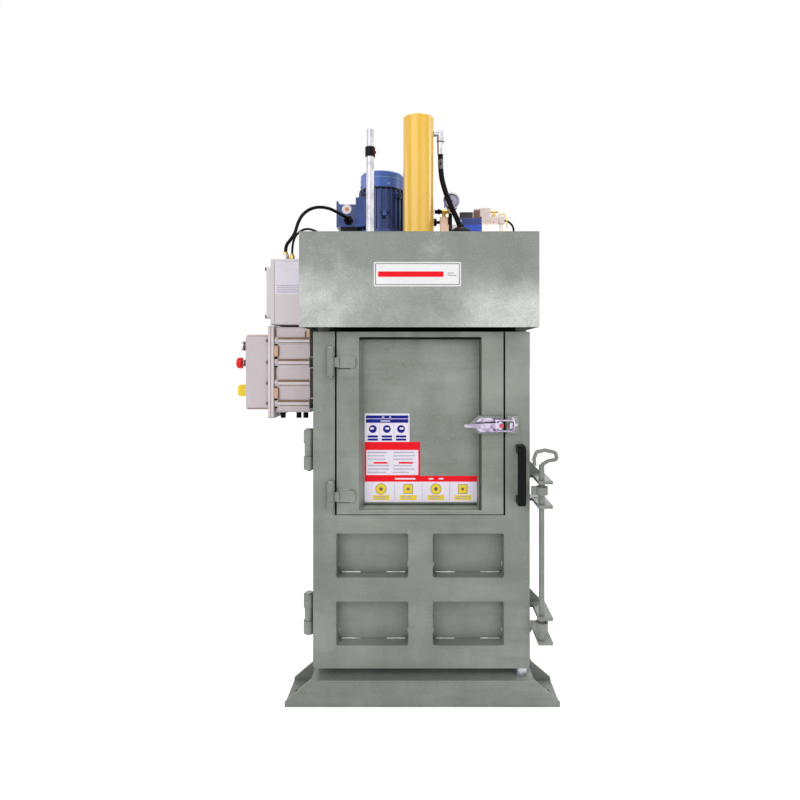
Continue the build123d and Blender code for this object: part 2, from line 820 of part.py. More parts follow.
loop_shape = (
    (0.44, 0.26),
    (1.0, 0.35),
    (0.88, 0.83),
    (0.2, 1.0),
    (-0.32, 0.87),
    (-0.48, 0.43),
    (-0.44, -0.09),
)
loop_route = [(lock_x, lock_y, lock_rod_high)]
for across, up in loop_shape:
    loop_route.append((lock_x + across * lock_loop_reach, lock_y, lock_rod_high + up * lock_loop_height))
dog_tip = door_right + 2 * swing_gap
with BuildPart() as lock_rod:
    post(lock_x, lock_y, (lock_rod_low, lock_rod_high), lock_rod_size)
    for low in lock_bracket_heights:
        inner_low = low + lock_bracket_sheet + seat_gap
        inner_high = low + lock_bracket_pitch - seat_gap
        post(lock_x, lock_y, (inner_low, inner_high), lock_collar)
        dog_low = low + lock_bracket_sheet + dog_rise
        post(lock_x, lock_y, (dog_low, dog_low + dog_height), dog_boss)
        span((dog_tip, lock_x), (lock_y - dog_sheet / 2, lock_y + dog_sheet / 2), (dog_low, dog_low + dog_height))
    with BuildLine() as loop_path:
        FilletPolyline(*loop_route, radius=lock_loop_bar * 0.7)
    with BuildSketch(Plane(loop_path.wire() @ 0, z_dir=loop_path.wire() % 0)):
        Circle(lock_loop_bar / 2)
    sweep(path=loop_path.wire())

# Ram and cylinder

barrel_bore = cylinder_size - 2 * cylinder_wall
barrel_low = crosshead_top + cylinder_flange_sheet
piston_low = cylinder_top - cylinder_cap - end_gap - piston_height
hub_size = 2 * rod_size
platen_top = platen_bottom + platen_sheet + platen_rib
platen_x = chamber_half - platen_gap
platen_y = (chamber_front + platen_gap, chamber_back - platen_gap)
with BuildPart() as platen:
    span((-platen_x, platen_x), platen_y, (platen_bottom, platen_bottom + platen_sheet))
    post(cylinder_x, cylinder_y, (platen_bottom, platen_top), hub_size)
    rib_top = platen_top - platen_rib_sheet
    rib = platen_rib_sheet / 2
    for y in (-platen_rib, platen_rib):
        span((-platen_x, platen_x), (y - rib, y + rib), (platen_bottom, rib_top))
    span((cylinder_x - rib, cylinder_x + rib), platen_y, (platen_bottom, rib_top))
    chamfer(platen.faces().sort_by(Axis.Z)[0].edges(), platen_sheet / 4)

with BuildPart() as ram_rod:
    post(cylinder_x, cylinder_y, (platen_top, piston_low), rod_size)
    post(cylinder_x, cylinder_y, (piston_low, piston_low + piston_height), barrel_bore - 2 * pin_fit)

with BuildPart() as cylinder_barrel:
    post(cylinder_x, cylinder_y, (crosshead_top, barrel_low), cylinder_flange)
    post(cylinder_x, cylinder_y, (barrel_low, cylinder_top), cylinder_size)
    chamfer(cylinder_barrel.edges().group_by(Axis.Z)[-1], 3)
    post(cylinder_x, cylinder_y, (barrel_low, cylinder_top - cylinder_cap), barrel_bore, Mode.SUBTRACT)
    post(cylinder_x, cylinder_y, (crosshead_top, barrel_low), rod_size + 2 * pin_fit, Mode.SUBTRACT)
    with Locations((cylinder_x, cylinder_y, (crosshead_top + barrel_low) / 2)):
        with PolarLocations(cylinder_bolt_circle / 2, cylinder_bolts):
            Cylinder(cylinder_bolt / 2, cylinder_flange_sheet, mode=Mode.SUBTRACT)

screw_rows = [lower_box_y[0] - box_flange_margin / 2, lower_box_y[1] + box_flange_margin / 2]
screw_head = 10.0
screw_head_height = 6.0
bezel_size = 32.0
bezel_height = 5.5
bolt_shank = cylinder_bolt - 2
bolt_head = 8.0
with BuildPart() as fasteners:
    with Locations((cylinder_x, cylinder_y, 0)):
        with PolarLocations(cylinder_bolt_circle / 2, cylinder_bolts):
            with Locations((0, 0, (wall_top + barrel_low) / 2)):
                Cylinder(bolt_shank / 2, barrel_low - wall_top)
    with BuildSketch(at_z(barrel_low), at_z(wall_top - bolt_head)):
        with Locations((cylinder_x, cylinder_y)):
            with PolarLocations(cylinder_bolt_circle / 2, cylinder_bolts):
                hexagon(cylinder_bolt_hex)
    extrude(amount=bolt_head)
    for height in box_rib_heights:
        for y in screw_rows:
            bar_x(y, height, (cover_flange[0] - screw_head_height, cover_flange[0]), screw_head)
    for height, bore, outer in (
        (start_button_z, start_button_size + 2 * seat_gap, bezel_size),
        (stop_button_z, stem_bore + 2 * seat_gap, start_button_size),
    ):
        bar_x(button_y, height, (cover_left - bezel_height, cover_left), outer)
        bar_x(button_y, height, (cover_left - bezel_height, cover_left), bore, Mode.SUBTRACT)

swivel_x = cylinder_x + cylinder_size / 2 + 25
swivel_size = 22.0
swivel_hex = 24.0
hose_hex = 30.0
ferrule_size = 25.0
ferrule_length = 49.0
swivel_low = cylinder_port_height - 30
hose_start = swivel_low - ferrule_length
hose_end = (146.0, -24.0, header_top + 30)
with BuildPart() as hose_fittings:
    bar_x(cylinder_y, cylinder_port_height, (cylinder_x + cylinder_size / 2, swivel_x), swivel_size)
    post(swivel_x, cylinder_y, (swivel_low, cylinder_port_height + swivel_size / 2), swivel_size)
    with BuildSketch(at_z(swivel_low), at_z(cylinder_port_height - swivel_size)):
        with Locations((swivel_x, cylinder_y)):
            hexagon(swivel_hex)
    extrude(amount=8)
    post(swivel_x, cylinder_y, (hose_start, swivel_low), ferrule_size)
    with BuildSketch(at_z(header_top)):
        with Locations(hose_end[:2]):
            hexagon(hose_hex)
    extrude(amount=12)
    post(hose_end[0], hose_end[1], (header_top, hose_end[2]), ferrule_size)

# Power pack

with BuildPart() as oil_tank:
    with BuildSketch(at_z(tank_low)):
        with Locations(((tank_left + tank_right) / 2, (tank_front + tank_back) / 2)):
            RectangleRounded(tank_right - tank_left, tank_back - tank_front, tank_corner)
    extrude(amount=tank_height)
    chamfer(oil_tank.faces().sort_by(Axis.Z)[-1].edges(), tank_sheet)
    with BuildSketch(at_z(tank_low + tank_sheet)):
        with Locations(((tank_left + tank_right) / 2, (tank_front + tank_back) / 2)):
            inside_x = tank_right - tank_left - 2 * tank_sheet
            inside_y = tank_back - tank_front - 2 * tank_sheet
            RectangleRounded(inside_x, inside_y, tank_corner - tank_sheet)
    extrude(amount=tank_height - 2 * tank_sheet, mode=Mode.SUBTRACT)
    filler_x = tank_right - filler_inset
    filler_y = tank_back - filler_inset
    cap_low = tank_top + filler_neck_height
    post(filler_x, filler_y, (tank_top, cap_low), filler_neck)
    post(filler_x, filler_y, (cap_low, cap_low + filler_cap_height), filler_cap)
    fillet(oil_tank.faces().sort_by(Axis.Z)[-1].edges(), tank_sheet)

core_size = motor_size - 2 * motor_fin
neck_size = cowl_size - 2 * cowl_sheet
cowl_low = motor_top + 6
shaft_bore = motor_shaft + 2 * pin_fit
terminal_right = motor_x - core_size / 2 + 10
terminal_y = (motor_y - terminal_depth / 2, motor_y + terminal_depth / 2)
with BuildPart() as motor_body:
    post(motor_x, motor_y, (tank_top, motor_low), motor_size + 12)
    with BuildSketch(at_z(motor_low)):
        with Locations((motor_x, motor_y)):
            Circle(core_size / 2)
            with PolarLocations(core_size / 2, motor_fins):
                Rectangle(2 * motor_fin, motor_fin_sheet)
    extrude(amount=motor_body_height)
    post(motor_x, motor_y, (motor_top, motor_top + 12), neck_size)
    for angle in (45, 135, 225, 315):
        with Locations(Plane.XY.offset(motor_top - 24) * Pos(motor_x, motor_y, 0) * Rot(0, 0, angle)):
            with Locations((motor_size / 2 - 2, 0, 0)):
                Box(16, 26, 22)
    with BuildSketch(at_z(terminal_low)):
        with Locations(((terminal_left + terminal_right) / 2, motor_y)):
            RectangleRounded(terminal_right - terminal_left, terminal_depth, 8)
    extrude(amount=terminal_high - terminal_low)
    post(motor_x, motor_y, (tank_top, motor_top + 12), shaft_bore, Mode.SUBTRACT)

with BuildPart() as motor_cowl:
    post(motor_x, motor_y, (cowl_low, cowl_low + cowl_height), cowl_size)
    fillet(motor_cowl.edges().group_by(Axis.Z)[-1], 14)
    offset(amount=-cowl_sheet, openings=motor_cowl.faces().sort_by(Axis.Z)[0], kind=Kind.INTERSECTION)
    with Locations((motor_x, motor_y, cowl_low + cowl_height)):
        for ring in (1, 2):
            with PolarLocations(ring * cowl_size / 6, ring * cowl_holes // 2):
                Cylinder(cowl_hole / 2, 4 * cowl_sheet, mode=Mode.SUBTRACT)

fan_low = motor_top + 24
with BuildPart() as motor_fan:
    post(motor_x, motor_y, (motor_low, fan_low + fan_height), motor_shaft)
    post(motor_x, motor_y, (fan_low, fan_low + fan_height), 1.8 * motor_shaft)
    post(motor_x, motor_y, (fan_low, fan_low + cowl_sheet), fan_size)
    with BuildSketch(at_z(fan_low)):
        with Locations((motor_x, motor_y)):
            with PolarLocations(fan_size / 3, fan_blades):
                Rectangle(fan_size / 3, cowl_sheet)
    extrude(amount=fan_height)

# Valves and gauge

with BuildPart() as valve_manifold:
    span((manifold_left, manifold_right), (manifold_front, manifold_back), (tank_top, manifold_top))
    riser = (manifold_left, manifold_left + manifold_height)
    span(riser, (valve_y - 20, valve_y + 20), (manifold_top, manifold_top + manifold_height))
    chamfer(valve_manifold.edges().filter_by(Axis.Z), 2)

valve_left = 152.0
valve_right = 232.0
coil_right = 297.0
coil_height = 36.0
valve_height = 30.0
valve_half = 24.0
valve_reach = (valve_y - valve_half, valve_y + valve_half)
connector_length = 16.0
connector_size = 24.0
valve_cap_inset = 6.0
valve_cap_height = 24.0
valve_cap_right = 198.0
plug_inset = 4.0
plug_right = 266.0
plug_height = 34.0
plug_fins = 4
plug_fin_pitch = 6.0
connector_right = coil_right + connector_length
connector_z = manifold_top + coil_height - 12
with BuildPart() as directional_valve:
    span((valve_left, valve_right), valve_reach, (manifold_top, manifold_top + valve_height))
    chamfer(directional_valve.edges().filter_by(Axis.X), 3)
    cap_y = (valve_y - valve_half + valve_cap_inset, valve_y + valve_half - valve_cap_inset)
    cap_top = manifold_top + valve_height + valve_cap_height
    span((valve_left - valve_cap_inset, valve_cap_right), cap_y, (manifold_top + valve_height, cap_top))
    fillet(directional_valve.edges().group_by(Axis.Z)[-1], 2)

with BuildPart() as solenoid_coil:
    span((valve_right, coil_right), valve_reach, (manifold_top, manifold_top + coil_height))
    fillet(solenoid_coil.edges().filter_by(Axis.X), 6)
    plug_low = manifold_top + coil_height
    plug_y = (valve_y - valve_half + plug_inset, valve_y + valve_half - plug_inset)
    span((valve_right - valve_cap_inset, plug_right), plug_y, (plug_low, plug_low + plug_height))
    fillet(solenoid_coil.edges().group_by(Axis.Z)[-1], plug_inset / 2)
    for step in range(plug_fins):
        fin_right = valve_right - valve_cap_inset - step * plug_fin_pitch
        fin_x = (fin_right - plug_fin_pitch / 2, fin_right)
        span(fin_x, plug_y, (manifold_top + valve_height, plug_low + plug_height - plug_fins))
    spine_x = (valve_right - valve_cap_inset - plug_fins * plug_fin_pitch, valve_right - valve_cap_inset)
    spine_y = (plug_y[0] + plug_inset, plug_y[1] - plug_inset)
    span(spine_x, spine_y, (manifold_top + valve_height, plug_low + plug_height - 2 * plug_fins))
    bar_x(valve_y, connector_z, (coil_right, connector_right), connector_size)

gauge_back = gauge_y + gauge_depth
fitting_z = gauge_z - 15
fitting = 16.0
fitting_hex = 19.0
needle_valve_x = 283.0
needle_valve_stem = 8.0
needle_valve_height = 22.0
with BuildPart() as brass_fittings:
    bar_y(gauge_x, fitting_z, (gauge_back, valve_y), fitting)
    bar_x(valve_y, fitting_z, (manifold_left - 20, gauge_x + fitting / 2), fitting)
    post(manifold_left + manifold_height / 2, valve_y, (manifold_top + manifold_height, fitting_z), fitting)
    with BuildSketch(at_y(gauge_back + fitting)):
        with Locations((gauge_x, fitting_z)):
            hexagon(fitting_hex)
    extrude(amount=10)
    with BuildSketch(at_x(manifold_left - 8)):
        with Locations((valve_y, fitting_z)):
            hexagon(fitting_hex)
    extrude(amount=10)
    stem_top = manifold_top + coil_height + needle_valve_height
    post(needle_valve_x, valve_y, (manifold_top + coil_height, stem_top), needle_valve_stem)
    with BuildSketch(at_z(manifold_top + coil_height)):
        with Locations((needle_valve_x, valve_y)):
            hexagon(fitting_hex)
    extrude(amount=fitting / 2)
    needle_head = (needle_valve_x - fitting, needle_valve_x + fitting)
    bar_x(valve_y, stem_top, needle_head, needle_valve_stem)

knob_x = manifold_left - 12
with BuildPart() as relief_knob:
    bar_x(valve_y, manifold_top + manifold_height / 2, (knob_x - 16, knob_x), 30)
    fillet(relief_knob.edges(), 3)
    bar_x(valve_y, manifold_top + manifold_height / 2, (knob_x, manifold_left - seat_gap), 12)

needle_y = gauge_y + gauge_bezel
dial_y = needle_y + 3
spindle = 4.0
with BuildPart() as gauge_body:
    bar_y(gauge_x, gauge_z, (gauge_y, gauge_back), gauge_size)
    fillet(gauge_body.edges(), 2)
    bar_y(gauge_x, gauge_z, (gauge_y, dial_y), gauge_size - 4 * gauge_bezel, Mode.SUBTRACT)
    bar_y(gauge_x, gauge_z, (dial_y, dial_y + 8), spindle + 2 * pin_fit, Mode.SUBTRACT)

needle_length = 19.0
with BuildPart() as gauge_needle:
    bar_y(gauge_x, gauge_z, (needle_y, dial_y + 7), spindle)
    bar_y(gauge_x, gauge_z, (needle_y, needle_y + 1), 2 * spindle)
    with BuildSketch(at_y(needle_y)):
        Polygon(
            (gauge_x - 2, gauge_z),
            (gauge_x + 2, gauge_z),
            (gauge_x - needle_length * cos(pi / 4), gauge_z - needle_length * sin(pi / 4)),
        )
    extrude(amount=-1)

# Mast

inner_bore = mast_inner + 2 * mast_inner_wall_gap
with BuildPart() as mast_post:
    post(mast_x, mast_y, (header_top, header_top + mast_foot_height), mast_foot)
    post(mast_x, mast_y, (header_top, mast_collar_low), mast_outer)
    post(mast_x, mast_y, (header_top + mast_foot_height, mast_collar_low), inner_bore, Mode.SUBTRACT)
    with Locations((mast_x, mast_y, header_top + mast_foot_height / 2)):
        with PolarLocations(mast_foot * 0.37, 3):
            Cylinder(2.5, mast_foot_height, mode=Mode.SUBTRACT)

mast_collar_high = mast_collar_low + mast_collar_height
button_z = mast_collar_low + mast_collar_height / 2
mast_button_size = 10.0
mast_button_pocket = 4.3
with BuildPart() as mast_clamp:
    post(mast_x, mast_y, (mast_collar_low, mast_collar_high), mast_collar)
    fillet(mast_clamp.edges(), 2)
    post(mast_x, mast_y, (mast_collar_low, mast_collar_high), inner_bore, Mode.SUBTRACT)
    pocket_x = mast_x + mast_collar / 2 - mast_button_pocket
    bar_x(mast_y, button_z, (pocket_x, mast_x + mast_collar), mast_button_size + 2 * pin_fit, Mode.SUBTRACT)

mast_button_travel = 3.0
with BuildPart() as mast_button:
    start = pocket_x + mast_button_travel + seat_gap
    bar_x(mast_y, button_z, (start, mast_x + mast_collar / 2 + mast_button_travel + 1), mast_button_size)
    fillet(mast_button.edges().group_by(Axis.X)[-1], 1)

with BuildPart() as mast_tube:
    post(mast_x, mast_y, (mast_collar_high - mast_hidden, mast_top), mast_inner)
    post(mast_x, mast_y, (mast_collar_high - mast_hidden, mast_top), mast_bore, Mode.SUBTRACT)

# Control boxes

upper_box_y = (upper_box_front, upper_box_front + upper_box_depth)
with BuildPart() as upper_box:
    span((upper_box_left, header_left), upper_box_y, (upper_box_low, upper_box_high))
    fillet(upper_box.edges().filter_by(Axis.X), 8)
    hollow_y = (upper_box_y[0] + box_wall, upper_box_y[1] - box_wall)
    hollow_z = (upper_box_low + box_wall, upper_box_high - box_wall)
    span((upper_box_left + box_wall, header_left - box_wall), hollow_y, hollow_z, Mode.SUBTRACT)
    rim = upper_lid_inset + box_wall
    window_y = (upper_box_y[0] + rim, upper_box_y[1] - rim)
    window_z = (upper_box_low + rim, upper_box_high - rim)
    span((upper_box_left, upper_box_left + box_wall), window_y, window_z, Mode.SUBTRACT)

with BuildPart() as upper_box_lid:
    inset = upper_lid_inset
    lid_y = (upper_box_y[0] + inset, upper_box_y[1] - inset)
    span((upper_box_left - upper_lid, upper_box_left), lid_y, (upper_box_low + inset, upper_box_high - inset))
    fillet(upper_box_lid.edges().filter_by(Axis.X), 10)
    fillet(upper_box_lid.edges().group_by(Axis.X)[0], 4)
    span((upper_box_left - upper_lid + box_wall, upper_box_left), window_y, window_z, Mode.SUBTRACT)

with BuildPart() as lower_box:
    span((lower_box_left, lower_box_right), lower_box_y, (lower_box_low, lower_box_high))
    fillet(lower_box.edges().filter_by(Axis.X), 10)
    for height in box_rib_heights:
        half = box_rib_height / 2
        ribs_y = (lower_box_y[0] - box_rib, lower_box_y[1] + box_rib)
        span((lower_box_left, lower_box_right), ribs_y, (height - half, height + half))
    for height in hinge_lug_heights:
        lug_y = (lower_box_y[0] - hinge_lug_rise, lower_box_y[0])
        lug_z = (height - hinge_lug / 2, height + hinge_lug / 2)
        span((lower_box_left, lower_box_left + hinge_lug_width), lug_y, lug_z)
    tab_y = (lower_box_y[0] - box_rib, lower_box_y[0])
    tab_z = (lower_box_high - corner_tab_height, lower_box_high)
    span((lower_box_right - corner_tab, lower_box_right), tab_y, tab_z)
    span(body_flange, flange_y, (flange_low, flange_high))
    fillet(lower_box.edges().filter_by(Axis.X).group_by(Axis.X)[0], 8)
    inner_y = (lower_box_y[0] + box_wall, lower_box_y[1] - box_wall)
    inner_z = (lower_box_low + box_wall, lower_box_high - box_wall)
    span((body_flange[0], lower_box_right - box_wall), inner_y, inner_z, Mode.SUBTRACT)

buttons = (start_button_z, stop_button_z, selector_z)
with BuildPart() as lower_box_cover:
    span((cover_left, cover_flange[0]), lower_box_y, (cover_low, cover_high))
    fillet(lower_box_cover.edges().filter_by(Axis.X), cover_corner)
    fillet(lower_box_cover.edges().group_by(Axis.X)[0], cover_corner / 2)
    span(cover_flange, flange_y, (flange_low, flange_high))
    cover_z = (cover_low + box_wall, cover_high - box_wall)
    span((cover_left + box_wall, cover_flange[1]), inner_y, cover_z, Mode.SUBTRACT)
    for height in buttons:
        bar_x(button_y, height, (cover_left, cover_left + stem_depth), stem_bore + 2 * pin_fit, Mode.SUBTRACT)

with BuildPart() as start_button:
    bar_x(button_y, start_button_z, (cover_left - 10, cover_left - button_travel - seat_gap), start_button_size)
    fillet(start_button.edges().group_by(Axis.X)[0], 2)
    bar_x(button_y, start_button_z, (cover_left - 6, cover_left + stem_depth - 2 * button_travel), stem_bore)

with BuildPart() as stop_button:
    bar_x(button_y, stop_button_z, (cover_left - stop_reach, cover_left - stop_reach + mushroom_height), mushroom)
    fillet(stop_button.edges().group_by(Axis.X)[0], 8)
    stop_stem = (cover_left - stop_reach + mushroom_height / 2, cover_left + stem_depth - 2 * button_travel)
    bar_x(button_y, stop_button_z, stop_stem, stem_bore)

with BuildPart() as selector_knob:
    bar_x(button_y, selector_z, (cover_left - 8, cover_left - seat_gap), selector_size)
    fillet(selector_knob.edges().group_by(Axis.X)[0], 2)
    bar = selector_size / 2
    bar_y_reach = (button_y - bar / 3, button_y + bar / 3)
    span((cover_left - selector_reach, cover_left - 6), bar_y_reach, (selector_z - bar, selector_z + bar))
    fillet(selector_knob.edges().filter_by(Axis.Y).group_by(Axis.X)[0], bar / 2)
    bar_x(button_y, selector_z, (cover_left - 2, cover_left + stem_depth - button_travel), stem_bore)

gland_y = -115.0
silver_gland = (-487.0, gland_y, 1490.0)
brass_gland = (-463.5, gland_y, 1484.0)
silver_gland_hex = 20.0
brass_gland_hex = 15.0
gland_nut = 8.0
terminal_gland = 24.0
terminal_gland_reach = 20.0
terminal_gland_hex = 32.0
terminal_gland_inset = 49.0
terminal_gland_rise = 25.0
with BuildPart() as cable_glands:
    for x, y, top, size in ((*silver_gland, silver_gland_hex), (*brass_gland, brass_gland_hex)):
        post(x, y, (upper_box_high, top), size - 2)
        with BuildSketch(at_z(upper_box_high + gland_nut / 3), at_z(top - 2 * gland_nut)):
            with Locations((x, y)):
                hexagon(size)
        extrude(amount=gland_nut)
    terminal_gland_x = terminal_left + terminal_gland_inset
    terminal_gland_z = terminal_low + terminal_gland_rise
    terminal_gland_y = terminal_y[0] - terminal_gland_reach
    bar_y(terminal_gland_x, terminal_gland_z, (terminal_gland_y, terminal_y[0]), terminal_gland)
    with BuildSketch(at_y(terminal_y[0])):
        with Locations((terminal_gland_x, terminal_gland_z)):
            hexagon(terminal_gland_hex)
    extrude(amount=gland_nut)

with BuildPart() as blanking_plugs:
    for x in (lower_box_left + 20, lower_box_right - 22, lower_box_right - 46):
        post(x, lower_box_front + 40, (lower_box_low - 22, lower_box_low), 18)


# Cables and hose


def cord_tube(name, route, diameter):
    """A cord along straight runs joined by tangent arcs, each as large as its two runs allow."""
    points = [Vector(*point) for point in route]
    radii = []
    for before, here, after in zip(points, points[1:], points[2:]):
        turn = (here - before).get_angle(after - here)
        shorter = min((here - before).length, (after - here).length)
        radii.append(0.45 * shorter / tan(radians(turn) / 2))
    with BuildPart() as piece:
        with BuildLine() as line:
            FilletPolyline(*points, radius=radii)
        with BuildSketch(Plane(line.wire() @ 0, z_dir=line.wire() % 0)):
            Circle(diameter / 2)
        sweep(path=line.wire())
    ratio = piece.part.volume / (pi * diameter**2 / 4 * line.wire().length)
    print(name, "length", round(line.wire().length), "volume ratio", round(ratio, 3))
    print(name, "radii", [round(radius) for radius in radii])
    return piece


ram_hose_size = 19.5
ram_hose_route = (
    (swivel_x, cylinder_y, hose_start),
    (swivel_x, cylinder_y, 1808),
    (82, -6, 1746),
    (104, -14, 1684),
    (131, -21, 1626),
    (hose_end[0], hose_end[1], 1584),
    hose_end,
)
ram_hose = cord_tube("ram_hose", ram_hose_route, ram_hose_size)

motor_cable_size = 12.0
motor_cable_route = (
    silver_gland,
    (-487, -115, 1530),
    (-471, -110, 1566),
    (-452, -92, 1600),
    (-436, -62, 1636),
    (-411, -34, 1660),
    (-381, -12, 1673),
    (-351, 2, 1677),
    (-324, 17, 1673),
    (-304, 40, 1663),
    (terminal_gland_x, 69, terminal_gland_z),
    (terminal_gland_x, terminal_gland_y, terminal_gland_z),
)
motor_cable = cord_tube("motor_cable", motor_cable_route, motor_cable_size)

control_cable_size = 8.0
lying = header_top + control_cable_size / 2 + seat_gap
control_cable_route = (
    brass_gland,
    (brass_gland[0], brass_gland[1], 1520),
    (-448, -119, 1556),
    (-412, -128, 1574),
    (-374, -137, 1562),
    (-338, -145, 1536),
    (-298, -152, 1519),
    (-250, -157, lying),
    (-200, -162, lying),
    (-150, -160, lying),
    (-100, -166, lying),
    (-50, -162, lying),
    (0, -167, lying),
    (50, -162, lying),
    (100, -166, lying),
    (150, -161, lying),
    (198, -146, lying),
    (240, -122, lying),
    (276, -92, lying),
    (306, -57, lying),
    (328, -20, 1518),
    (342, 18, 1527),
    (350, 52, 1541),
    (355, 80, 1557),
    (358, 101, 1573),
    (360, 115, 1590),
    (361, valve_y, 1609),
    (361, valve_y, 1625),
    (355, valve_y, 1639.6),
    (343.7, valve_y, 1650.9),
    (connector_right + connector_length, valve_y, connector_z),
    (connector_right, valve_y, connector_z),
)
control_cable = cord_tube("control_cable", control_cable_route, control_cable_size)

# Files

os.makedirs("parts", exist_ok=True)
save(front_foot, "front_foot")
save(rear_foot, "rear_foot")
save(door_rest, "door_rest")
save(chamber_floor, "chamber_floor")
save(left_side_wall, "left_side_wall")
save(right_side_wall, "right_side_wall")
save(rear_wall, "rear_wall")
save(crosshead, "crosshead")
save(header_front, "header_front")
save(header_wrap, "header_wrap")
save(header_top_plate, "header_top_plate")
save(hinge_brackets, "hinge_brackets")
save(lock_brackets, "lock_brackets")
save(door_left_post, "door_left_post")
save(door_right_post, "door_right_post")
save(door_grid, "door_grid")
save(door_back_sheet, "door_back_sheet")
save(door_knuckles, "door_knuckles")
save(hinge_pins, "hinge_pins")
save(pull_handle, "pull_handle")
save(latch_keeper, "latch_keeper")
save(feed_door_pan, "feed_door_pan")
save(feed_door_back_sheet, "feed_door_back_sheet")
save(feed_hinge_straps, "feed_hinge_straps")
save(latch_base, "latch_base")
save(latch_lever, "latch_lever")
save(latch_hook, "latch_hook")
save(lock_rod, "lock_rod")
save(platen, "platen")
save(ram_rod, "ram_rod")
save(cylinder_barrel, "cylinder_barrel")
save(fasteners, "fasteners")
save(hose_fittings, "hose_fittings")
save(oil_tank, "oil_tank")
save(motor_body, "motor_body")
save(motor_cowl, "motor_cowl")
save(motor_fan, "motor_fan")
save(valve_manifold, "valve_manifold")
save(directional_valve, "directional_valve")
save(solenoid_coil, "solenoid_coil")
save(brass_fittings, "brass_fittings")
save(relief_knob, "relief_knob")
save(gauge_body, "gauge_body")
save(gauge_needle, "gauge_needle")
save(mast_post, "mast_post")
save(mast_clamp, "mast_clamp")
save(mast_button, "mast_button")
save(mast_tube, "mast_tube")
save(upper_box, "upper_box")
save(upper_box_lid, "upper_box_lid")
save(lower_box, "lower_box")
save(lower_box_cover, "lower_box_cover")
save(start_button, "start_button")
save(stop_button, "stop_button")
save(selector_knob, "selector_knob")
save(cable_glands, "cable_glands")
save(blanking_plugs, "blanking_plugs")
save(ram_hose, "ram_hose")
save(motor_cable, "motor_cable")
save(control_cable, "control_cable")
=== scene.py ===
import random
from math import cos, pi, radians, sin

import bmesh
import bpy
from mathutils import Matrix, Vector


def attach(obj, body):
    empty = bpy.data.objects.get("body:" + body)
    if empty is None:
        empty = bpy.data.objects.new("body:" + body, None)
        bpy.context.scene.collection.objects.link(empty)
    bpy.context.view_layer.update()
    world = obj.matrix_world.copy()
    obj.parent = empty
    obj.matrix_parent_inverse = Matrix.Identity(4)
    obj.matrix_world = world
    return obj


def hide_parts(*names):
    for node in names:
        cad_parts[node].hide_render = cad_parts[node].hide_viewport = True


# Looks and small pieces of a vertical recycling baler, in the frame of the model: X right, Y back,
# Z up. Looks and cords are written in metres, and pieces in millimetres.
mm = 0.001

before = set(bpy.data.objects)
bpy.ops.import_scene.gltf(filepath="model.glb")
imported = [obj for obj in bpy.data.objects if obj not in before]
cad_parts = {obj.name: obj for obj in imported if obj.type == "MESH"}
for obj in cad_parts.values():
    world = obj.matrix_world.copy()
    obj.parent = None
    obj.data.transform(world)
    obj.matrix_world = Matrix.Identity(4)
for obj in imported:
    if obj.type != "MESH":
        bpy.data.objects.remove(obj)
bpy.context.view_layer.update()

# Camera, straight in front as in the photograph: its place in millimetres, its view in pixels

eye_x, eye_distance, eye_height = 2, 2215, 1125
photo_size = 800
focal_pixels = 590
middle_x, middle_y = 423, 355

camera_data = bpy.data.cameras.new("camera")
camera_data.lens = camera_data.sensor_width * focal_pixels / photo_size
camera_data.shift_x = 0.5 - middle_x / photo_size
camera_data.shift_y = middle_y / photo_size - 0.5
camera = bpy.data.objects.new("camera", camera_data)
camera.location = (eye_x * mm, -eye_distance * mm, eye_height * mm)
camera.rotation_euler = (radians(90), 0, 0)
bpy.context.scene.collection.objects.link(camera)
bpy.context.scene.camera = camera
bpy.context.scene.view_settings.view_transform = "Standard"


# Materials

looks = {}


def linear(share):
    """The light of a colour channel, from its share on a screen."""
    return share / 12.92 if share <= 0.04045 else ((share + 0.055) / 1.055) ** 2.4


def tint(red, green, blue):
    """A colour from the values a screen shows, 0 to 255."""
    return (linear(red / 255), linear(green / 255), linear(blue / 255), 1)


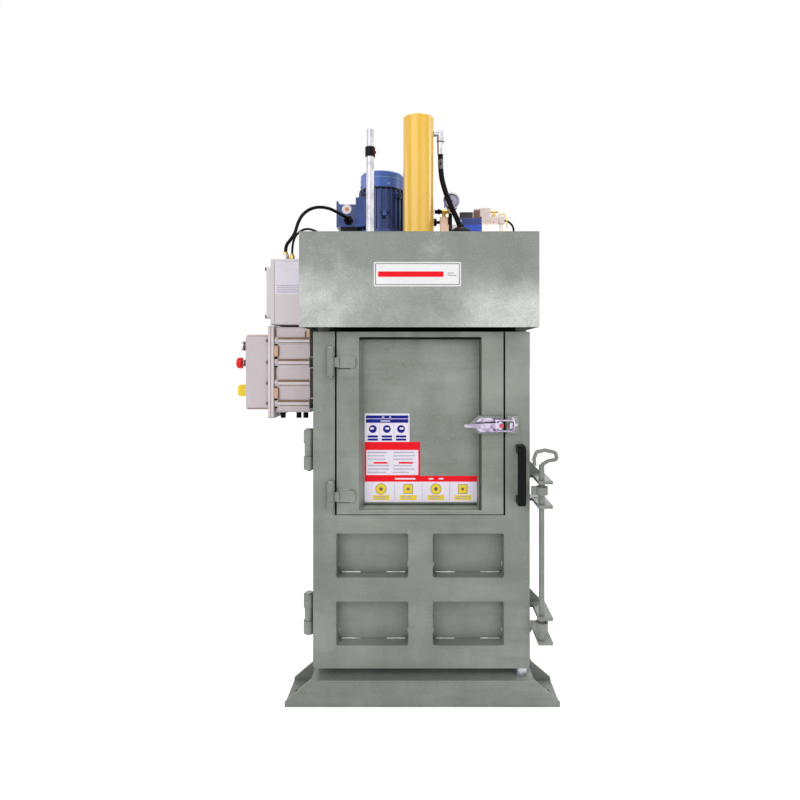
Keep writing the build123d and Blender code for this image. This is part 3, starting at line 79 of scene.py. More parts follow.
class Look:
    """A Principled material built step by step. Its textures lie in the frame of the model."""

    def __init__(self, name, roughness, metallic=0.0):
        self.material = bpy.data.materials.new(name)
        self.material.use_nodes = True
        self.tree = self.material.node_tree
        self.shader = self.tree.nodes["Principled BSDF"]
        self.shader.inputs["Roughness"].default_value = roughness
        self.shader.inputs["Metallic"].default_value = metallic
        self.place = self.tree.nodes.new("ShaderNodeTexCoord").outputs["Object"]
        self.normal = None
        looks[name] = self

    def feed(self, socket, value):
        """Link a socket to another one, or give it a plain value."""
        if isinstance(value, bpy.types.NodeSocket):
            self.tree.links.new(value, socket)
        else:
            socket.default_value = value

    def node(self, kind, inputs, **settings):
        made = self.tree.nodes.new("ShaderNode" + kind)
        for key, value in settings.items():
            setattr(made, key, value)
        for key, value in inputs.items():
            self.feed(made.inputs[key], value)
        return made

    # Values

    def noise(self, scale, detail=2.0, rough=0.5, stretch=(1, 1, 1)):
        place = self.node("Mapping", {"Vector": self.place, "Scale": stretch}).outputs[0]
        inputs = {"Vector": place, "Scale": scale, "Detail": detail, "Roughness": rough}
        return self.node("TexNoise", inputs).outputs[0]

    def cells(self, scale):
        return self.node("TexVoronoi", {"Vector": self.place, "Scale": scale}).outputs[0]

    def band(self, value, low, high):
        """0 below low, 1 above high, smooth between."""
        inputs = {"Value": value, "From Min": low, "From Max": high}
        return self.node("MapRange", inputs, interpolation_type="SMOOTHSTEP").outputs[0]

    def count(self, operation, first, second=0.0):
        return self.node("Math", {0: first, 1: second}, operation=operation).outputs[0]

    def product(self, first, *others):
        for other in others:
            first = self.count("MULTIPLY", first, other)
        return first

    def axis(self, letter):
        return self.node("SeparateXYZ", {"Vector": self.place}).outputs["XYZ".index(letter)]

    def within(self, letter, low, high):
        """1 between two places on an axis."""
        place = self.axis(letter)
        above = self.count("GREATER_THAN", place, low)
        return self.product(above, self.count("LESS_THAN", place, high))

    def edges(self, radius):
        """1 on outer and inner edges, 0 on flat faces."""
        soft = self.node("Bevel", {"Radius": radius}, samples=4).outputs[0]
        flat = self.tree.nodes.new("ShaderNodeNewGeometry").outputs["Normal"]
        same = self.node("VectorMath", {0: soft, 1: flat}, operation="DOT_PRODUCT").outputs["Value"]
        return self.band(self.count("SUBTRACT", 1.0, same), 0.02, 0.25)

    # Colours

    def mix(self, factor, first, second):
        return self.node("Mix", {0: factor, 6: first, 7: second}, data_type="RGBA").outputs[2]

    def over(self, colour, other, share, strength):
        """A colour with another one laid over it."""
        return self.mix(self.product(share, strength), colour, other)

    def shade_corners(self, colour, distance, strength):
        """Darken a colour in corners and gaps: painted shade where less light reaches."""
        open_share = self.node("AmbientOcclusion", {"Distance": distance}, samples=6).outputs["AO"]
        return self.over(colour, tint(34, 38, 28), self.band(open_share, 0.75, 0.15), strength)

    def present(self):
        """The colour that the shader has so far."""
        return self.shader.inputs["Base Color"].links[0].from_socket

    def repaint(self, colour, dust=0.12, **places):
        """Give another colour to the part that lies in a box, with the same dust over it."""
        share = self.product(1.0, *[self.within(axis, *ends) for axis, ends in places.items()])
        dusty = self.over(tint(*colour), tint(150, 150, 150), self.noise(120, 3), dust)
        self.colour(self.mix(share, self.present(), dusty))

    # What the shader gets

    def colour(self, value):
        self.feed(self.shader.inputs["Base Color"], value)

    def rough(self, share, smooth, dull):
        """Roughness from smooth to dull, as a share goes from 0 to 1."""
        inputs = {"Value": share, "To Min": smooth, "To Max": dull}
        self.feed(self.shader.inputs["Roughness"], self.node("MapRange", inputs).outputs[0])

    def round_edges(self, radius):
        self.normal = self.node("Bevel", {"Radius": radius}, samples=4).outputs[0]
        self.feed(self.shader.inputs["Normal"], self.normal)

    def bump(self, height, distance, strength):
        inputs = {"Height": height, "Distance": distance, "Strength": strength}
        if self.normal:
            inputs["Normal"] = self.normal
        self.normal = self.node("Bump", inputs).outputs[0]
        self.feed(self.shader.inputs["Normal"], self.normal)


def painted(name, base, light, dark, roughness=0.42, grain=0.10, patches=0.6):
    """Sprayed paint: soft cloudy patches, fine orange peel and slightly paler worn edges."""
    base, light, dark = tint(*base), tint(*light), tint(*dark)
    look = Look(name, roughness)
    look.round_edges(1.2 * mm)
    clouds = look.band(look.noise(3.2, 4, 0.6), 0.35, 0.7)
    streaks = look.band(look.noise(9, 3, 0.6, (1, 1, 0.35)), 0.4, 0.75)
    wiped = look.band(look.noise(7, 4, 0.65, (0.45, 0.6, 2.4)), 0.42, 0.7)
    colour = look.over(base, light, clouds, 0.6 * patches)
    colour = look.over(colour, dark, streaks, 0.35 * patches)
    colour = look.over(colour, dark, wiped, 0.3 * patches)
    speck = look.noise(260, 3, 0.7)
    colour = look.over(colour, light, look.band(speck, 0.45, 0.75), grain)
    colour = look.over(colour, dark, look.band(speck, 0.45, 0.2), grain)
    worn = look.product(look.edges(1.6 * mm), look.band(look.noise(60, 3), 0.35, 0.7))
    colour = look.over(colour, light, worn, 0.45)
    # Painted shade in corners and gaps
    look.colour(look.shade_corners(colour, 25 * mm, 0.6))
    look.rough(clouds, roughness - 0.04, roughness + 0.1)
    look.bump(look.noise(420, 2, 0.5), 0.25 * mm, 0.25)
    return look


def metal(name, colour, dull, roughness, brushed=(1, 1, 1)):
    """Plated or bare metal with fine scratches and a thin film of dirt."""
    look = Look(name, roughness, 1.0)
    look.round_edges(0.6 * mm)
    film = look.band(look.noise(35, 4, 0.6), 0.4, 0.75)
    # A film of dirt, and painted shade in corners and gaps
    look.colour(look.shade_corners(look.mix(film, tint(*colour), tint(*dull)), 8 * mm, 0.75))
    scratches = look.noise(300, 2, 0.6, brushed)
    look.rough(scratches, roughness - 0.08, roughness + 0.15)
    look.bump(scratches, 0.05 * mm, 0.3)


def moulded(name, base, worn, roughness, pebble=900, gloss=0.5):
    """Moulded plastic or rubber with a fine pebbled skin."""
    look = Look(name, roughness)
    look.shader.inputs["Specular IOR Level"].default_value = gloss
    look.round_edges(0.8 * mm)
    scuffs = look.band(look.noise(28, 4, 0.65), 0.45, 0.8)
    look.colour(look.over(tint(*base), tint(*worn), scuffs, 0.5))
    look.rough(scuffs, roughness, roughness + 0.18)
    look.bump(look.cells(pebble), 0.12 * mm, 0.2)


def printed(name, base, worn, roughness=0.38):
    """Printed film: even colour with faint blotches and a very slight ripple."""
    look = Look(name, roughness)
    look.shader.inputs["Specular IOR Level"].default_value = 0.22
    look.colour(look.mix(look.band(look.noise(26, 4, 0.6), 0.35, 0.8), tint(*base), tint(*worn)))
    look.bump(look.noise(70, 2), 0.2 * mm, 0.25)


def header_paint():
    """The header's paint is paler and speckled, most of all low down at both sides."""
    look = Look("header_paint", 0.4)
    look.round_edges(1.2 * mm)
    low = look.band(look.axis("Z"), 1.45, 1.25)
    side = look.band(look.count("ABSOLUTE", look.count("ADD", look.axis("X"), 0.01)), 0.04, 0.33)
    spread = look.count("ADD", look.product(side, 0.75), 0.25)
    clouds = look.band(look.noise(4.2, 5, 0.62), 0.28, 0.72)
    glow = look.product(low, spread, look.count("ADD", clouds, 0.25))
    patches = look.band(look.noise(7, 4, 0.7), 0.45, 0.75)
    glow = look.count("ADD", glow, look.product(patches, 0.26))
    # It fades along Y, so that the header's sides match its plain wrap
    glow = look.product(glow, look.band(look.axis("Y"), -0.3, -0.37))
    colour = look.mix(clouds, tint(127, 132, 125), tint(146, 150, 144))
    pale = look.count("MINIMUM", look.product(glow, 0.9), 1.0)
    colour = look.mix(pale, colour, tint(222, 225, 221))
    speck = look.noise(330, 3, 0.8)
    speckled = look.count("MINIMUM", look.count("ADD", look.product(glow, 0.5), 0.14), 0.7)
    colour = look.over(colour, tint(240, 241, 240), look.band(speck, 0.5, 0.66), speckled)
    colour = look.over(colour, tint(118, 122, 116), look.band(speck, 0.47, 0.3), speckled)
    # Painted shade in corners and gaps
    look.colour(look.shade_corners(colour, 25 * mm, 0.5))
    look.bump(look.noise(300, 2, 0.6), 0.3 * mm, 0.3)


def cylinder_paint():
    """Glossy amber enamel with faint sags and brush-fine variation along the barrel."""
    look = Look("cylinder_paint", 0.3)
    look.round_edges(1.5 * mm)
    sags = look.band(look.noise(14, 4, 0.6, (1, 1, 0.2)), 0.35, 0.7)
    colour = look.mix(sags, tint(255, 199, 52), tint(255, 204, 62))
    grime = look.band(look.noise(60, 4, 0.7), 0.62, 0.8)
    look.colour(look.over(colour, tint(224, 160, 52), grime, 0.2))
    look.shader.inputs["Coat Weight"].default_value = 0.5
    look.shader.inputs["Coat Roughness"].default_value = 0.2
    look.bump(look.noise(300, 2), 0.15 * mm, 0.2)


def keeper_paint():
    """The keeper's plate is painted with the door, and its lug and bolts are plated."""
    look = painted("keeper_paint", (150, 156, 146), (176, 181, 172), (120, 128, 118))
    bare = look.within("Y", -0.4, -0.3234)
    look.colour(look.mix(bare, look.present(), tint(200, 192, 204)))
    look.feed(look.shader.inputs["Metallic"], bare)
    look.rough(bare, 0.42, 0.16)


# Name, base, light and dark colour, roughness, grain and patches
painted("green_paint", (134, 140, 132), (170, 175, 168), (106, 114, 103), 0.42, 0.34, 1.1)
painted("pale_paint", (176, 181, 172), (198, 202, 194), (150, 156, 147))
painted("box_paint", (211, 199, 203), (228, 218, 221), (190, 176, 180), 0.5, 0.3, 0.35)
painted("motor_paint", (36, 64, 134), (62, 102, 184), (16, 32, 82), 0.36)
painted("cowl_paint", (54, 94, 186), (86, 128, 214), (34, 66, 144), 0.32)
# Paler cowl paint, for painted highlight on the cowl's trim
painted("cowl_highlight_paint", (116, 150, 220), (140, 170, 232), (70, 104, 178), 0.3)
painted("valve_paint", (48, 68, 148), (80, 100, 180), (30, 44, 108), 0.4)
header_paint()
cylinder_paint()
keeper_paint()

# Name, colour, dull colour and roughness
metal("bright_steel", (196, 195, 202), (158, 157, 166), 0.28)
metal("chrome", (204, 194, 214), (122, 104, 146), 0.14)
metal("brass", (216, 178, 88), (176, 136, 62), 0.26)
metal("mast_alloy", (181, 180, 186), (148, 147, 155), 0.34, brushed=(1, 1, 0.05))
metal("manifold_alloy", (206, 200, 196), (180, 172, 168), 0.36)
metal("weld", (206, 206, 204), (150, 152, 148), 0.38)

# Name, base, worn colour and roughness
moulded("coil_plastic", (240, 224, 216), (250, 242, 238), 0.5)
moulded("beige_plastic", (222, 190, 170), (236, 210, 194), 0.5)
moulded("black_plastic", (6, 4, 7), (22, 18, 24), 0.36, gloss=0.12)
moulded("black_rubber", (4, 4, 5), (16, 15, 17), 0.5, gloss=0.1)
moulded("red_plastic", (246, 8, 18), (240, 30, 34), 0.3, pebble=1400, gloss=0.3)
moulded("grip_red", (232, 84, 100), (240, 130, 140), 0.4, pebble=1400, gloss=0.3)
moulded("orange_plastic", (238, 140, 30), (240, 160, 70), 0.4)
moulded("yellow_plastic", (255, 224, 62), (250, 206, 60), 0.4, pebble=1200, gloss=0.3)

printed("paper", (250, 243, 255), (241, 233, 250))
printed("plate_paper", (255, 254, 255), (248, 247, 249))
printed("dial_paper", (214, 208, 232), (200, 194, 220))
printed("ink_blue", (10, 14, 132), (20, 30, 150))
printed("ink_red", (255, 6, 30), (244, 14, 38))
printed("ink_yellow", (255, 226, 54), (250, 214, 60))
printed("ink_grey", (186, 184, 200), (170, 168, 186))
printed("ink_dark", (96, 98, 104), (116, 118, 124))
# Dark paint for painted shadow lines
printed("painted_shadow_dark", (62, 72, 56), (76, 86, 70), 0.6)
# Umber for painted shadow lines, and pale paint for painted highlight lines and screw heads
printed("umber", (150, 122, 100), (128, 102, 84), 0.6)
printed("pale_and_highlight_edge", (240, 229, 232), (228, 217, 221), 0.5)

# Parts of a node in another colour: cover of the valve, four sections of its block, end of its
# coil, knob of the needle valve, gland of the motor cable and cover screws of the lower box

looks["valve_paint"].repaint((26, 22, 26), 0.02, Z=(1.6632, 1.70))
for ends, colour in (
    ((0.060, 0.1022), (214, 180, 160)),
    # The black section is painted shade in the gap beside the tan section
    ((0.1022, 0.116), (20, 20, 22)),
    ((0.152, 0.232), (48, 72, 160)),
    ((0.232, 0.297), (240, 226, 218)),
):
    looks["manifold_alloy"].repaint(colour, X=ends)
looks["coil_plastic"].repaint((150, 112, 96), X=(0.196, 0.226), Y=(0.09, 0.16))
looks["brass"].repaint((12, 11, 10), 0.02, X=(0.03, 0.077), Z=(1.676, 1.71))
looks["brass"].repaint((12, 12, 13), 0.02, X=(-0.345, -0.24), Z=(1.62, 1.70))
looks["bright_steel"].repaint(
    (70, 56, 66), 0.05, X=(-0.62, -0.515), Y=(-0.22, 0.02), Z=(0.93, 1.21)
)

# The upper box is painted paler than the lower one, as painted light. The lower one has three tan
# lugs

box_look = looks["box_paint"]
upper_box = box_look.within("Z", 1.2275, 1.47)
box_look.colour(box_look.over(box_look.present(), tint(255, 250, 255), upper_box, 0.42))
for x, y, z in (
    ((-0.508, -0.491), (-0.207, -0.1945), (0.976, 1.014)),
    ((-0.508, -0.491), (-0.207, -0.1945), (1.119, 1.157)),
    ((-0.3965, -0.3845), (-0.2, -0.1945), (1.185, 1.222)),
):
    box_look.repaint((220, 180, 154), X=x, Y=y, Z=z)

# A worn band along the top of the doors, and the remains of a print on the hose

door_look = looks["green_paint"]
top_band = door_look.product(
    door_look.band(door_look.axis("Z"), 1.1, 1.21),
    door_look.within("Z", 1.0, 1.225),
    door_look.band(door_look.noise(9, 4, 0.65), 0.38, 0.62),
)
door_look.colour(door_look.over(door_look.present(), tint(176, 182, 174), top_band, 0.55))

hose_look = looks["black_rubber"]
worn_print = hose_look.product(
    hose_look.within("Z", 1.822, 1.858),
    hose_look.within("Y", -0.02, -0.006),
    hose_look.band(hose_look.noise(170, 3, 0.7), 0.46, 0.6),
)
hose_look.colour(hose_look.mix(worn_print, hose_look.present(), tint(190, 186, 184)))

# The model's own nodes, by the name of their material unless they are named here

node_looks = {
    "lock_rod": "green_paint",
    "latch_keeper": "keeper_paint",
    "gauge_needle": "black_plastic",
    "hinge_pins": "pale_paint",
}
for name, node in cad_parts.items():
    for slot in node.material_slots:
        look_name = node_looks.get(name, slot.material.name.split(".")[0])
        if look_name in looks:
            slot.material = looks[look_name].material
        else:
            print("no look for", name, look_name)


# Cords, as smooth curves over the routes of the model


def cord(node, route, diameter):
    name = node + "_line"
    data = bpy.data.curves.new(name, "CURVE")
    data.dimensions = "3D"
    spline = data.splines.new("NURBS")
    spline.points.add(len(route) - 1)
    for point, place in zip(spline.points, route):
        point.co = (*place, 1)
    spline.order_u = 3
    spline.use_endpoint_u = True
    data.resolution_u = 16
    data.bevel_depth = diameter / 2
    data.bevel_resolution = 7
    data.use_fill_caps = True
    data.materials.append(looks["black_rubber"].material)
    piece = bpy.data.objects.new(name, data)
    bpy.context.scene.collection.objects.link(piece)
    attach(piece, "frame")
    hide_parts(node)


ram_hose_route = (
    (0.0675, 0, 1.876), (0.0675, 0, 1.808), (0.082, -0.006, 1.746), (0.104, -0.014, 1.684),
    (0.131, -0.021, 1.626), (0.146, -0.024, 1.584), (0.146, -0.024, 1.541),
)
motor_cable_route = (
    (-0.487, -0.115, 1.490), (-0.487, -0.115, 1.514), (-0.472, -0.103, 1.537),
    (-0.460, -0.082, 1.566), (-0.456, -0.060, 1.606), (-0.442, -0.030, 1.650),
    (-0.407, 0.000, 1.681), (-0.357, 0.022, 1.684), (-0.312, 0.046, 1.664),
    (-0.293, 0.072, 1.657), (-0.293, 0.100, 1.657),
)
control_cable_route = (
    (-0.4635, -0.115, 1.484), (-0.4635, -0.115, 1.520), (-0.448, -0.119, 1.556),
    (-0.412, -0.128, 1.574), (-0.374, -0.137, 1.562), (-0.338, -0.145, 1.536),
    (-0.298, -0.152, 1.519), (-0.250, -0.157, 1.5153), (-0.200, -0.162, 1.5153),
    (-0.150, -0.160, 1.5153), (-0.100, -0.166, 1.5153), (-0.050, -0.162, 1.5153),
    (0.000, -0.167, 1.5153), (0.050, -0.162, 1.5153), (0.100, -0.166, 1.5153),
    (0.150, -0.161, 1.5153), (0.198, -0.146, 1.5153), (0.240, -0.122, 1.5153),
    (0.276, -0.092, 1.5153), (0.306, -0.057, 1.5153), (0.328, -0.020, 1.518),
    (0.342, 0.018, 1.527), (0.350, 0.052, 1.541), (0.355, 0.080, 1.557),
    (0.358, 0.101, 1.573), (0.360, 0.115, 1.590), (0.361, 0.122, 1.609),
    (0.361, 0.122, 1.625), (0.355, 0.122, 1.6396), (0.3437, 0.122, 1.6509),
    (0.329, 0.122, 1.657), (0.313, 0.122, 1.657),
)
cord("ram_hose", ram_hose_route, diameter=0.0195)
cord("motor_cable", motor_cable_route, diameter=0.012)
cord("control_cable", control_cable_route, diameter=0.008)


# Pieces

random.seed(7)


def seen(x, y, back):
    """X and Z of a point of the photograph, at its distance back."""
    scale = (eye_distance + back) / focal_pixels
    return eye_x + (x - middle_x) * scale, eye_height + (middle_y - y) * scale


def rounded(left, right, low, high, radius, steps=4):
    corners = (
        (right - radius, high - radius, 0),
        (left + radius, high - radius, 90),
        (left + radius, low + radius, 180),
        (right - radius, low + radius, 270),
    )
    turns = [radians(90 * step / steps) for step in range(steps + 1)]
    return [
        (x + radius * cos(radians(start) + turn), z + radius * sin(radians(start) + turn))
        for x, z, start in corners
        for turn in turns
    ]


def disc(x, z, radius, steps=24, turn=0.0):
    angles = [2 * pi * step / steps + turn for step in range(steps)]
    return [(x + radius * cos(angle), z + radius * sin(angle)) for angle in angles]


class Shape:
    """One piece made of prisms, turned parts and weld beads. A look is given by its number."""

    def __init__(self, name, body, slot, *look_names):
        self.name, self.body, self.slot, self.look_names = name, body, slot, look_names
        self.mesh = bmesh.new()

    def ring(self, axis, outline, along):
        """The corners of an outline that lies across an axis."""
        place = {
            "X": lambda u, v: (along, u, v),
            "Y": lambda u, v: (u, along, v),
            "Z": lambda u, v: (u, v, along),
        }[axis]
        return [self.mesh.verts.new([value * mm for value in place(u, v)]) for u, v in outline]

    def skin(self, rings, look, closed=False):
        """Faces from ring to ring. A closed skin joins its last ring to its first."""
        faces = [] if closed else [self.mesh.faces.new(rings[0]), self.mesh.faces.new(rings[-1])]
        for first, second in zip(rings, rings[1:] + rings[: int(closed)]):
            for step in range(len(first)):
                after = (step + 1) % len(first)
                corners = (first[step], first[after], second[after], second[step])
                faces.append(self.mesh.faces.new(corners))
        for face in faces:
            face.material_index = look

    def prism(self, axis, outline, low, high, look=0):
        self.skin([self.ring(axis, outline, along) for along in (low, high)], look)

    def block(self, x, y, z, radius, look=0):
        """A block whose four upright edges are rounded."""
        self.prism("Z", rounded(*x, *y, radius), *z, look)

    def turned(self, axis, centre, profile, look=0, steps=32, closed=False):
        """Turn (along, radius) points round an axis. A closed profile leaves a hole."""
        rings = [self.ring(axis, disc(*centre, radius, steps), along) for along, radius in profile]
        self.skin(rings, look, closed)

    def tube(self, axis, centre, inner, outer, low, high, look=0):
        profile = ((low, inner), (low, outer), (high, outer), (high, inner))
        self.turned(axis, centre, profile, look, closed=True)

    def strip(self, x, z, radius, face, proud, look=0):
        """A thin strip that stands proud of a front face."""
        self.prism("Y", rounded(*x, *z, radius), face - proud, face, look)

    def bead(self, start, end, size, pitch=4.0, look=0):
        """A stitched weld, as a half sunk rope with uneven ripples."""
        start, end = Vector(start), Vector(end)
        way = end - start
        side = way.orthogonal().normalized()
        up = way.cross(side).normalized()
        angles = [2 * pi * turn / 8 for turn in range(8)]
        count = max(6, round(3 * way.length / pitch))
        rings = []
        for step in range(count + 1):
            share = step / count
            wave = abs(sin(pi * share * way.length / pitch))
            ripple = 0.8 + 0.2 * wave + random.uniform(-0.06, 0.06)
            taper = min(1.0, 0.3 + min(share, 1 - share) * way.length / size)
            reach = size / 2 * ripple * taper
            middle = start + way * share
            places = [middle + reach * (cos(angle) * side + sin(angle) * up) for angle in angles]
            rings.append([self.mesh.verts.new(place * mm) for place in places])
        self.skin(rings, look)

    def round_about(self, x, y, angles, make):
        """Make a form once for each angle, and turn it there round an upright axis."""
        for angle in angles:
            known = set(self.mesh.verts)
            make()
            verts = [vert for vert in self.mesh.verts if vert not in known]
            matrix = Matrix.Rotation(radians(angle), 4, "Z")
            bmesh.ops.rotate(self.mesh, cent=(x * mm, y * mm, 0), matrix=matrix, verts=verts)

    def done(self, bevel=0.0):
        """Make the object, give it its looks and let it ride on its body."""
        bmesh.ops.recalc_face_normals(self.mesh, faces=self.mesh.faces)
        for face in self.mesh.faces:
            face.smooth = True
        for edge in self.mesh.edges:
            edge.smooth = edge.calc_face_angle(0) < radians(35)
        data = bpy.data.meshes.new(self.name)
        self.mesh.to_mesh(data)
        self.mesh.free()
        for look in self.look_names:
            data.materials.append(looks[look].material)
        made = bpy.data.objects.new(self.name, data)
        bpy.context.scene.collection.objects.link(made)
        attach(made, self.body)
        if bevel:
            soften = made.modifiers.new("soften", "BEVEL")
            soften.width = bevel * mm
            soften.segments = 2
            soften.limit_method = "ANGLE"


# Stickers on the feed door, as plain fields of colour in three layers: film, ink and marks

panel_front = -275.0
film_front = panel_front - 0.3
ink_front = film_front - 0.15
mark_front = ink_front - 0.15
sticker_left = -189.7

paper = Shape("sticker_film", "feed_door", "coil_plastic", "paper")
blue = Shape("sticker_blue_fields", "feed_door", "valve_paint", "ink_blue")
red = Shape("sticker_red_fields", "feed_door", "red_plastic", "ink_red")
yellow = Shape("sticker_yellow_fields", "feed_door", "yellow_plastic", "ink_yellow")
grey = Shape("sticker_grey_lines", "feed_door", "manifold_alloy", "ink_grey", "ink_dark")


def on_panel(shape, outline, look=0):
    shape.prism("Y", outline, film_front, panel_front, look)


def on_film(shape, outline, look=0):
    shape.prism("Y", outline, ink_front, film_front, look)


def on_ink(shape, outline, look=0):
    shape.prism("Y", outline, mark_front, ink_front, look)


# Blue sticker: two bars, and three discs with two bars below each

on_panel(paper, rounded(sticker_left, -42.1, 839.4, 933, 2.5))
on_film(blue, rounded(-185.7, -46.1, 916.2, 926.4, 0.8))
on_film(blue, rounded(-185.7, -46.1, 902.1, 914.4, 0.8))
for x in (-163.0, -116.7, -70.0):
    on_film(blue, disc(x, 881.7, 13.0))
    for low in (843.5, 853.6):
        on_film(blue, rounded(x - 17, x + 17, low, low + 7, 0.8))
for x in (-139.8, -93.4):
    on_film(grey, rounded(x - 0.6, x + 0.6, 842, 899, 0.3))
for x in (-165.0, -115.0, -68.0):
    on_ink(paper, rounded(x - 7, x + 6, 880, 887, 3))
for x, half, low in ((-129, 4, 919.5), (-106, 3, 919.5), (-122, 16, 906.5)):
    on_ink(paper, rounded(x - half, x + half, low, low + 3, 0.6))

# Red sticker: two columns of dashes

on_panel(red, rounded(sticker_left, -7.5, 727.5, 839, 2.5))
on_film(paper, rounded(-184.4, -13.5, 730.4, 812.6, 1.5))
for row in range(7):
    high = 806 - row * 10.8
    for left, right in ((-179, -104), (-96, -19)):
        end = right - random.uniform(4, 30)
        if row == 3:
            on_ink(red, rounded(left + 18, right - 12, high - 6, high, 0.8))
        else:
            on_ink(grey, rounded(left, end, high - 3.4, high, 0.5))

# Yellow sticker below a red bar: two discs and two squares, each over a bar

on_panel(paper, rounded(sticker_left, 179, 642.3, 708.4, 2.5))
on_panel(red, rounded(sticker_left, 179, 708.4, 727.5, 1.0))
for left, right in ((-90, -23), (21, 36), (54, 69)):
    on_film(paper, rounded(left, right, 715.5, 720.5, 1.0))
round_field, square_field = (24, 16.4, 18.2), (4, 19.5, 21.8)
for x, (sides, radius, rim) in (
    (-136.0, round_field),
    (-46.7, square_field),
    (44.4, round_field),
    (132.5, square_field),
):
    turn = pi / sides
    grey.prism("Y", disc(x, 684.5, rim, sides, turn), ink_front + 0.05, film_front, look=1)
    on_film(yellow, disc(x, 684.5, radius, sides, turn))
    on_film(yellow, rounded(x - 27.5, x + 27.5, 648.3, 664.7, 1.5))
    on_ink(grey, disc(x, 684.5, 6.0, sides, turn), look=1)
    for low in (652.2, 657.8):
        end = x + 21 - random.uniform(2, 14)
        on_ink(grey, rounded(x - 21, end, low, low + 2.6, 0.4))
for x in (-91.0, -1.0, 88.5):
    on_film(grey, rounded(x - 0.6, x + 0.6, 646, 704, 0.3))
for shape in (paper, blue, red, yellow, grey):
    shape.done()

# Plain plate on the header and plain label on the upper box

header_front = -375.0
plate_front = header_front - 1.5
print_height = 0.2
plate = Shape("header_plate", "frame", "coil_plastic", "plate_paper")
plate.prism("Y", rounded(-151.5, 120.8, 1338.7, 1415.1, 5, 6), plate_front, header_front)
plate.done(0.4)
plate_line = Shape("header_plate_line", "frame", "manifold_alloy", "ink_dark")
for x, z in (
    ((-146.4, 115.7), (1343.2, 1345.4)),
    ((-146.4, 115.7), (1408.4, 1410.6)),
    ((-147.0, -144.8), (1344, 1410)),
    ((114.1, 116.3), (1344, 1410)),
    ((78, 106), (1372.5, 1374.5)),
    ((78, 98), (1379.5, 1381.5)),
):
    plate_line.strip(x, z, 0.5, plate_front, print_height)
plate_line.done()
plate_bar = Shape("header_plate_bar", "frame", "red_plastic", "ink_red")
plate_bar.strip((-138, 66), (1368.5, 1385.5), 2, plate_front, print_height)
plate_bar.done()

box_front = -195.0
label_front = box_front - 0.5
label = Shape("upper_box_label", "frame", "coil_plastic", "paper")
label.prism("Y", rounded(-504.4, -397.0, 1332.8, 1444.4, 3), label_front, box_front)
label.done()
label_lines = Shape("upper_box_label_lines", "frame", "manifold_alloy", "ink_grey")
for row in range(4):
    low = 1340 + row * 7
    ends = (-498, -404 - random.uniform(0, 22))
    label_lines.strip(ends, (low, low + 2.2), 0.4, label_front, print_height)
label_lines.done()

# Weld beads: recesses of the main door, foot and lock brackets; beads of painted highlight and
# shadow on the straps of the feed door

recess_front, strap_front, foot_front, bracket_front = -266.0, -315.5, -330.5, -254.5
door_welds = Shape("door_weld_beads", "main_door", "bright_steel", "weld")
for left, right in ((-277.0, -45.5), (33.5, 264.0)):
    for low in (190.2, 408.8):
        for start in (left + 6, right - 74):
            door_welds.bead((start, recess_front, low), (start + 68, recess_front, low), 5.5)
        for x in (left + 1.5, right - 1.5):
            door_welds.bead((x, recess_front, low + 16), (x, recess_front, low + 34), 4.0)
door_welds.done()

strap_light_beads = Shape(
    "feed_strap_highlight_and_shadow_beads", "feed_door", "green_paint", "pale_paint", "painted_shadow_dark"
)
# Each strap: a pale bead along its top edge as painted highlight, a dark one along its bottom edge
# as painted shadow
for middle in (671.0, 1102.0):
    top, bottom = middle + 19.8, middle - 20.2
    strap_light_beads.bead((-272, strap_front, top), (-232, strap_front, top), 5.5)
    strap_light_beads.bead((-272, strap_front, bottom), (-232, strap_front, bottom), 4.5, look=1)
strap_light_beads.done()

frame_welds = Shape("frame_weld_beads", "frame", "green_paint", "green_paint")
frame_welds.bead((-344, foot_front, 82.5), (348, foot_front, 82.5), 6.5, pitch=5.5)
for low in (209.5, 286.5, 640.0, 717.0):
    for z in (low, low + 10):
        frame_welds.bead((368, bracket_front, z), (409, bracket_front, z), 5.0)
for x in (-365.0, 365.0):
    frame_welds.bead((x, -258, 92.5), (x, -178, 92.5), 5.0)
frame_welds.done()

# Motor: saddle with a lug, painted shade under the terminal box and a black bar, plug, lug pads of
# painted shade, badge, and trim of the cowl with painted highlight and painted shade

motor_x, motor_y = -162.0, 165.0
saddle = Shape("motor_saddle", "frame", "motor_paint", "motor_paint")
saddle_outline = ((-262, 96), (-226, 78), (-214, 84), (-214, 246), (-226, 252), (-262, 234))
saddle.prism("Z", saddle_outline, 1626, 1742)
lug_outline = ((-341, 1720), (-322, 1720), (-330, 1724), (-336, 1738), (-341, 1731))
saddle.prism("Y", lug_outline, 121, 129)
saddle.done(1.2)

terminal_shade_and_black_bar = Shape("terminal_shade_and_black_bar", "frame", "black_plastic", "black_plastic")
# A black block in the gap under the terminal box: painted shade. A thin black bar stands at its
# side
terminal_shade_and_black_bar.block((-326, -222), (123, 205), (1613, 1632), 5)
terminal_shade_and_black_bar.block((-262.5, -257), (112, 124), (1640, 1722), 1)
terminal_shade_and_black_bar.done(0.8)

terminal_face = 120.0
plug_front = terminal_face - 4.5
plug_place = seen(346.9, 209.5, terminal_face)
plug = Shape("terminal_plug", "frame", "coil_plastic", "paper", "orange_plastic")
plug_rim = ((terminal_face, 19.4), (plug_front + 1.5, 19.4), (plug_front, 17.5))
plug.turned("Y", plug_place, plug_rim)
plug.turned("Y", plug_place, ((plug_front, 8), (plug_front - 2, 7)), look=1, steps=20)
plug.done(0.5)


# Black pads at the cowl's four lugs: painted shade of the recesses there
def lug_shade_pad():
    lug_shade_pads.prism("Y", disc(motor_x, 1749, 13.5, 4), motor_y - 103.5, motor_y - 99.5)


